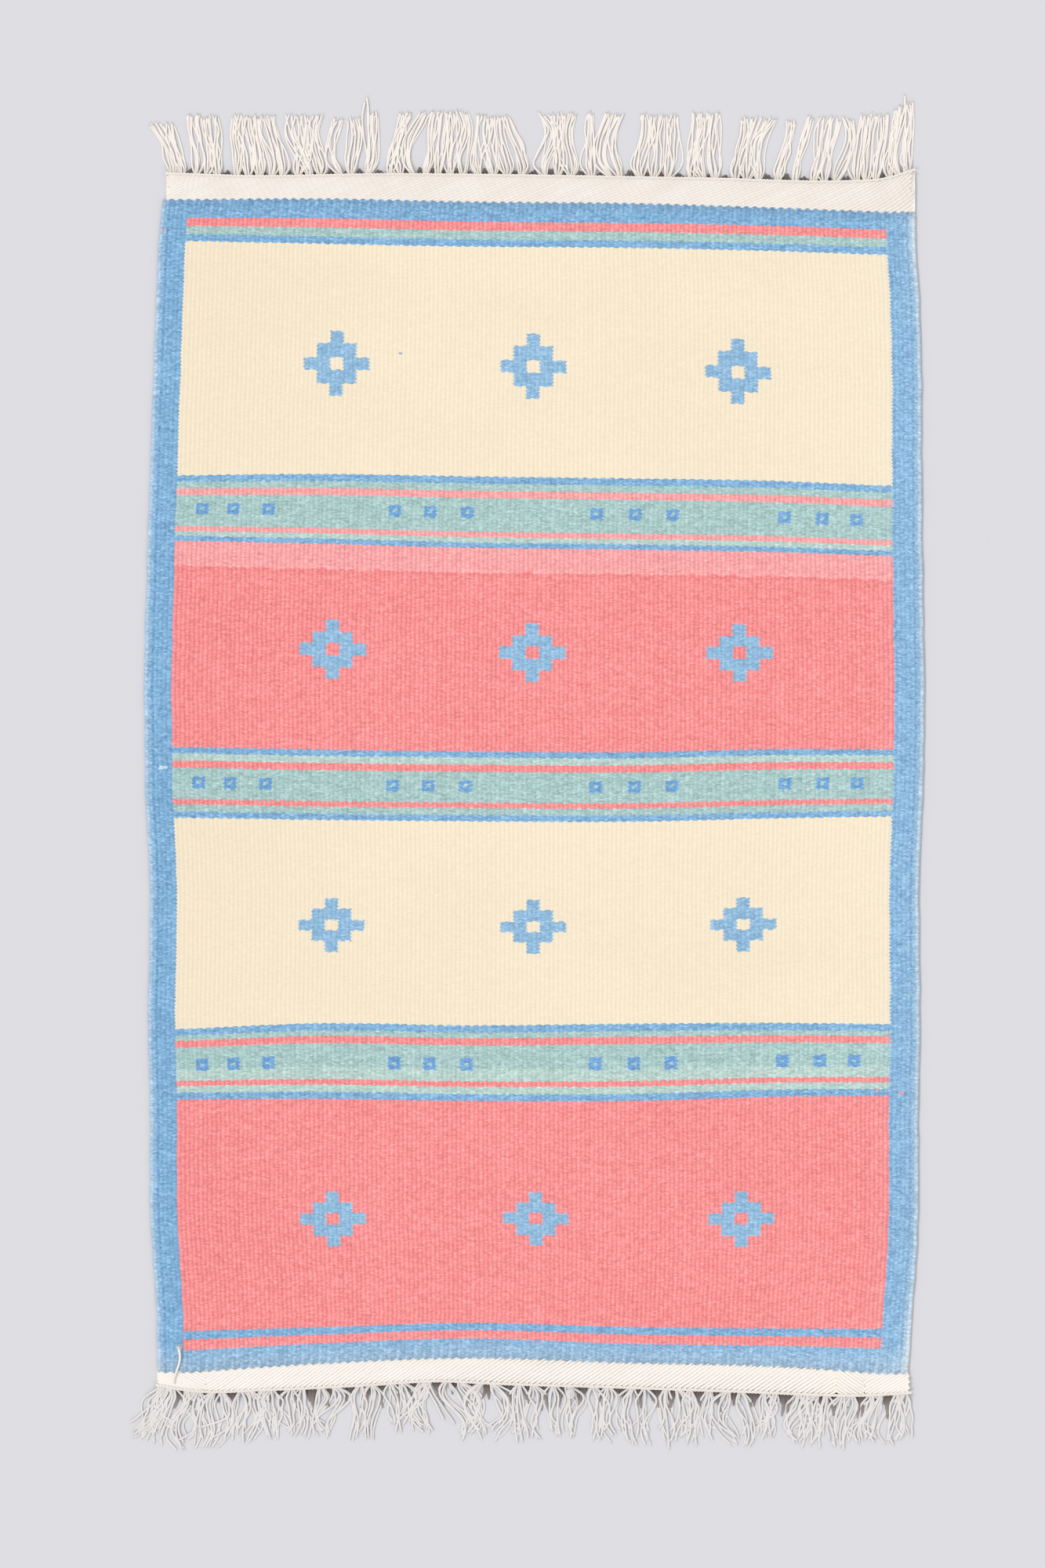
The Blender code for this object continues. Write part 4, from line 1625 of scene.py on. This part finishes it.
def fringe(end, groups, habit, seed):
    rng = np.random.default_rng(seed)
    paths = []
    for number, group in enumerate(groups):
        before = group.root_from - groups[number - 1].root_to if number else 0.0
        after = groups[number + 1].root_from - group.root_to if number + 1 < len(groups) else 0.0
        low = group.root_from - min(before / 2, MOST_SPREAD)
        high = group.root_to + min(after / 2, MOST_SPREAD)
        paths += group_paths(group, low, high, end.cord, end.side, habit, rng)
    for loner in LONERS[end.name]:
        strand = (loner.root, 0.0, loner.root, loner.tip, loner.length)
        paths.append(strand_path(strand, end.cord, end.side, 1, COMBED, (0.0, 0.0), rng))
    strands = run_tree(
        curve_object("strand_paths", paths),
        yarns_tree,
        f"fringe_strands_{end.name}",
        radius=habit.radius * MM,
        flatness=FLATNESS,
        sides=STRAND_SIDES,
        step=STRAND_STEP * MM,
        material=habit.material,
    )
    hairs = run_tree(
        curve_object("tip_paths", paths),
        frays_tree,
        f"frayed_tips_{end.name}",
        hairs=TIP_HAIRS,
        hair_length=HAIR_LENGTH * MM,
        hair_radius=HAIR_RADIUS * MM,
        spread=HAIR_SPREAD,
        seed=seed,
        material=frayed_cotton,
    )
    return strands, hairs


far_strands, far_hairs = fringe(ENDS[0], FRINGE_FAR, COMBED, SEED_FAR)
near_strands, near_hairs = fringe(ENDS[1], FRINGE_NEAR, TANGLED, SEED_NEAR)

# %% [markdown]
# One bunch of the near fringe ends at once, in a small round knot under the cord. A path that winds
# round a ball, with its axis turning as it goes, is enough of a knot from here.

# %% Knot
KNOT_X = 28.0
KNOT_DROP = 6.0
KNOT_RADIUS = 2.7
KNOT_TURNS = 5
STEPS_IN_A_KNOT_TURN = 8
KNOT_AXIS_TURN = 0.62


def knot_path(end):
    centre_y = cord_y(end.cord, KNOT_X) - KNOT_DROP
    path = [(KNOT_X - 1.0, centre_y + KNOT_DROP, 2.6, 0.9)]
    for step in range(KNOT_TURNS * STEPS_IN_A_KNOT_TURN):
        turn = math.tau * step / STEPS_IN_A_KNOT_TURN
        axis = KNOT_AXIS_TURN * step / STEPS_IN_A_KNOT_TURN
        across, out = KNOT_RADIUS * math.cos(turn), KNOT_RADIUS * math.sin(turn)
        x = KNOT_X + across * math.cos(axis) * 1.15
        path.append((x, centre_y + out * 1.3, 3.3 + across * math.sin(axis) * 0.7, 1.0))
    path += [(KNOT_X + 4.0, centre_y - 4.5, 1.4, 0.9), (KNOT_X + 5.0, centre_y - 11.0, 0.8, 0.8)]
    return path


knot = run_tree(
    curve_object("knot_path", [knot_path(ENDS[1])]),
    yarns_tree,
    "fringe_knot",
    radius=0.85 * MM,
    flatness=1.0,
    sides=6,
    step=1.0 * MM,
    material=tangled_cotton,
)

# %% [markdown]
# ## The stray warp end
# One warp end at the near left corner has flipped back over the heading and lies on the blue border,
# with its cut end opened into a tuft. It is the same yarn on a path of its own.

# %% Stray end
STRAY_ROUTE = [
    (-276.5, -461.0, 3.4, 0.8),
    (-276.8, -457.0, 3.7, 0.8),
    (-275.0, -451.5, 4.1, 0.9),
    (-272.6, -445.0, 4.1, 0.95),
    (-272.0, -439.0, 4.1, 1.0),
    (-273.0, -434.5, 4.1, 1.15),
]
stray = run_tree(
    curve_object("stray_path", [STRAY_ROUTE]),
    yarns_tree,
    "stray_warp_end",
    radius=0.95 * MM,
    flatness=1.0,
    sides=8,
    step=1.2 * MM,
    material=combed_cotton,
)
stray_hairs = run_tree(
    curve_object("stray_tip", [STRAY_ROUTE]),
    frays_tree,
    "stray_tuft",
    hairs=18,
    hair_length=4.6 * MM,
    hair_radius=0.5 * MM,
    spread=0.7,
    seed=5,
    material=frayed_cotton,
)

# %% [markdown]
# ## The core of each heading
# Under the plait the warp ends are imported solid. The frame's own heading solids have that shape, so
# they stay, and only get a cotton finish. It can't follow a yarn, so it is read from the object's own
# place: fine slanting ridges and soft cotton fibre.

# %% Finish of the cores
CORE_WHITE, CORE_SHADE = seen(264, 257, 250), seen(247, 238, 228)
RIDGE_TURNING = 1800.0


def core_material():
    made, tree, shader = new_material("packed_cotton", roughness=0.95)
    at = object_place(tree)
    fibres = use_group(tree, fibre, place=at, fibre_scale=900.0, patch_scale=60.0)
    mixed = mix_colour(tree, fibres["Patch"], opaque(CORE_WHITE), opaque(CORE_SHADE))
    tree.links.new(mixed, shader.inputs["Base Color"])
    x, y, _ = split(tree, at)
    ridges = math_node(tree, "SINE", times(tree, minus(tree, x, y), RIDGE_TURNING))
    height = scale_and_add(tree, fibres["Fibre"], 0.4, ridges)
    relief(tree, shader, height, strength=0.6, depth=0.25)
    return made


packed_cotton = core_material()
for name in ("heading_far", "heading_near"):
    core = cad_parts[name]
    core.data.materials.clear()
    core.data.materials.append(packed_cotton)
print("cores finished:", packed_cotton.name)

# %% [markdown]
# ## Hand the pieces to the frame
# Every piece rides on the rug's one body. The cloth stands for its solid, and each fringe for its own.

# %% Ride and replace
fringes = [far_strands, far_hairs, near_strands, near_hairs, knot, stray, stray_hairs]
pieces = [cloth, *plaits, *cords, *shade_wedges, *fringes]
for piece in pieces:
    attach(piece, "root")
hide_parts("cloth")
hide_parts("fringe_far")
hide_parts("fringe_near")
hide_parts("stray_end")
print("pieces:", [piece.name for piece in pieces])

# %% Update the scene
bpy.context.view_layer.update()
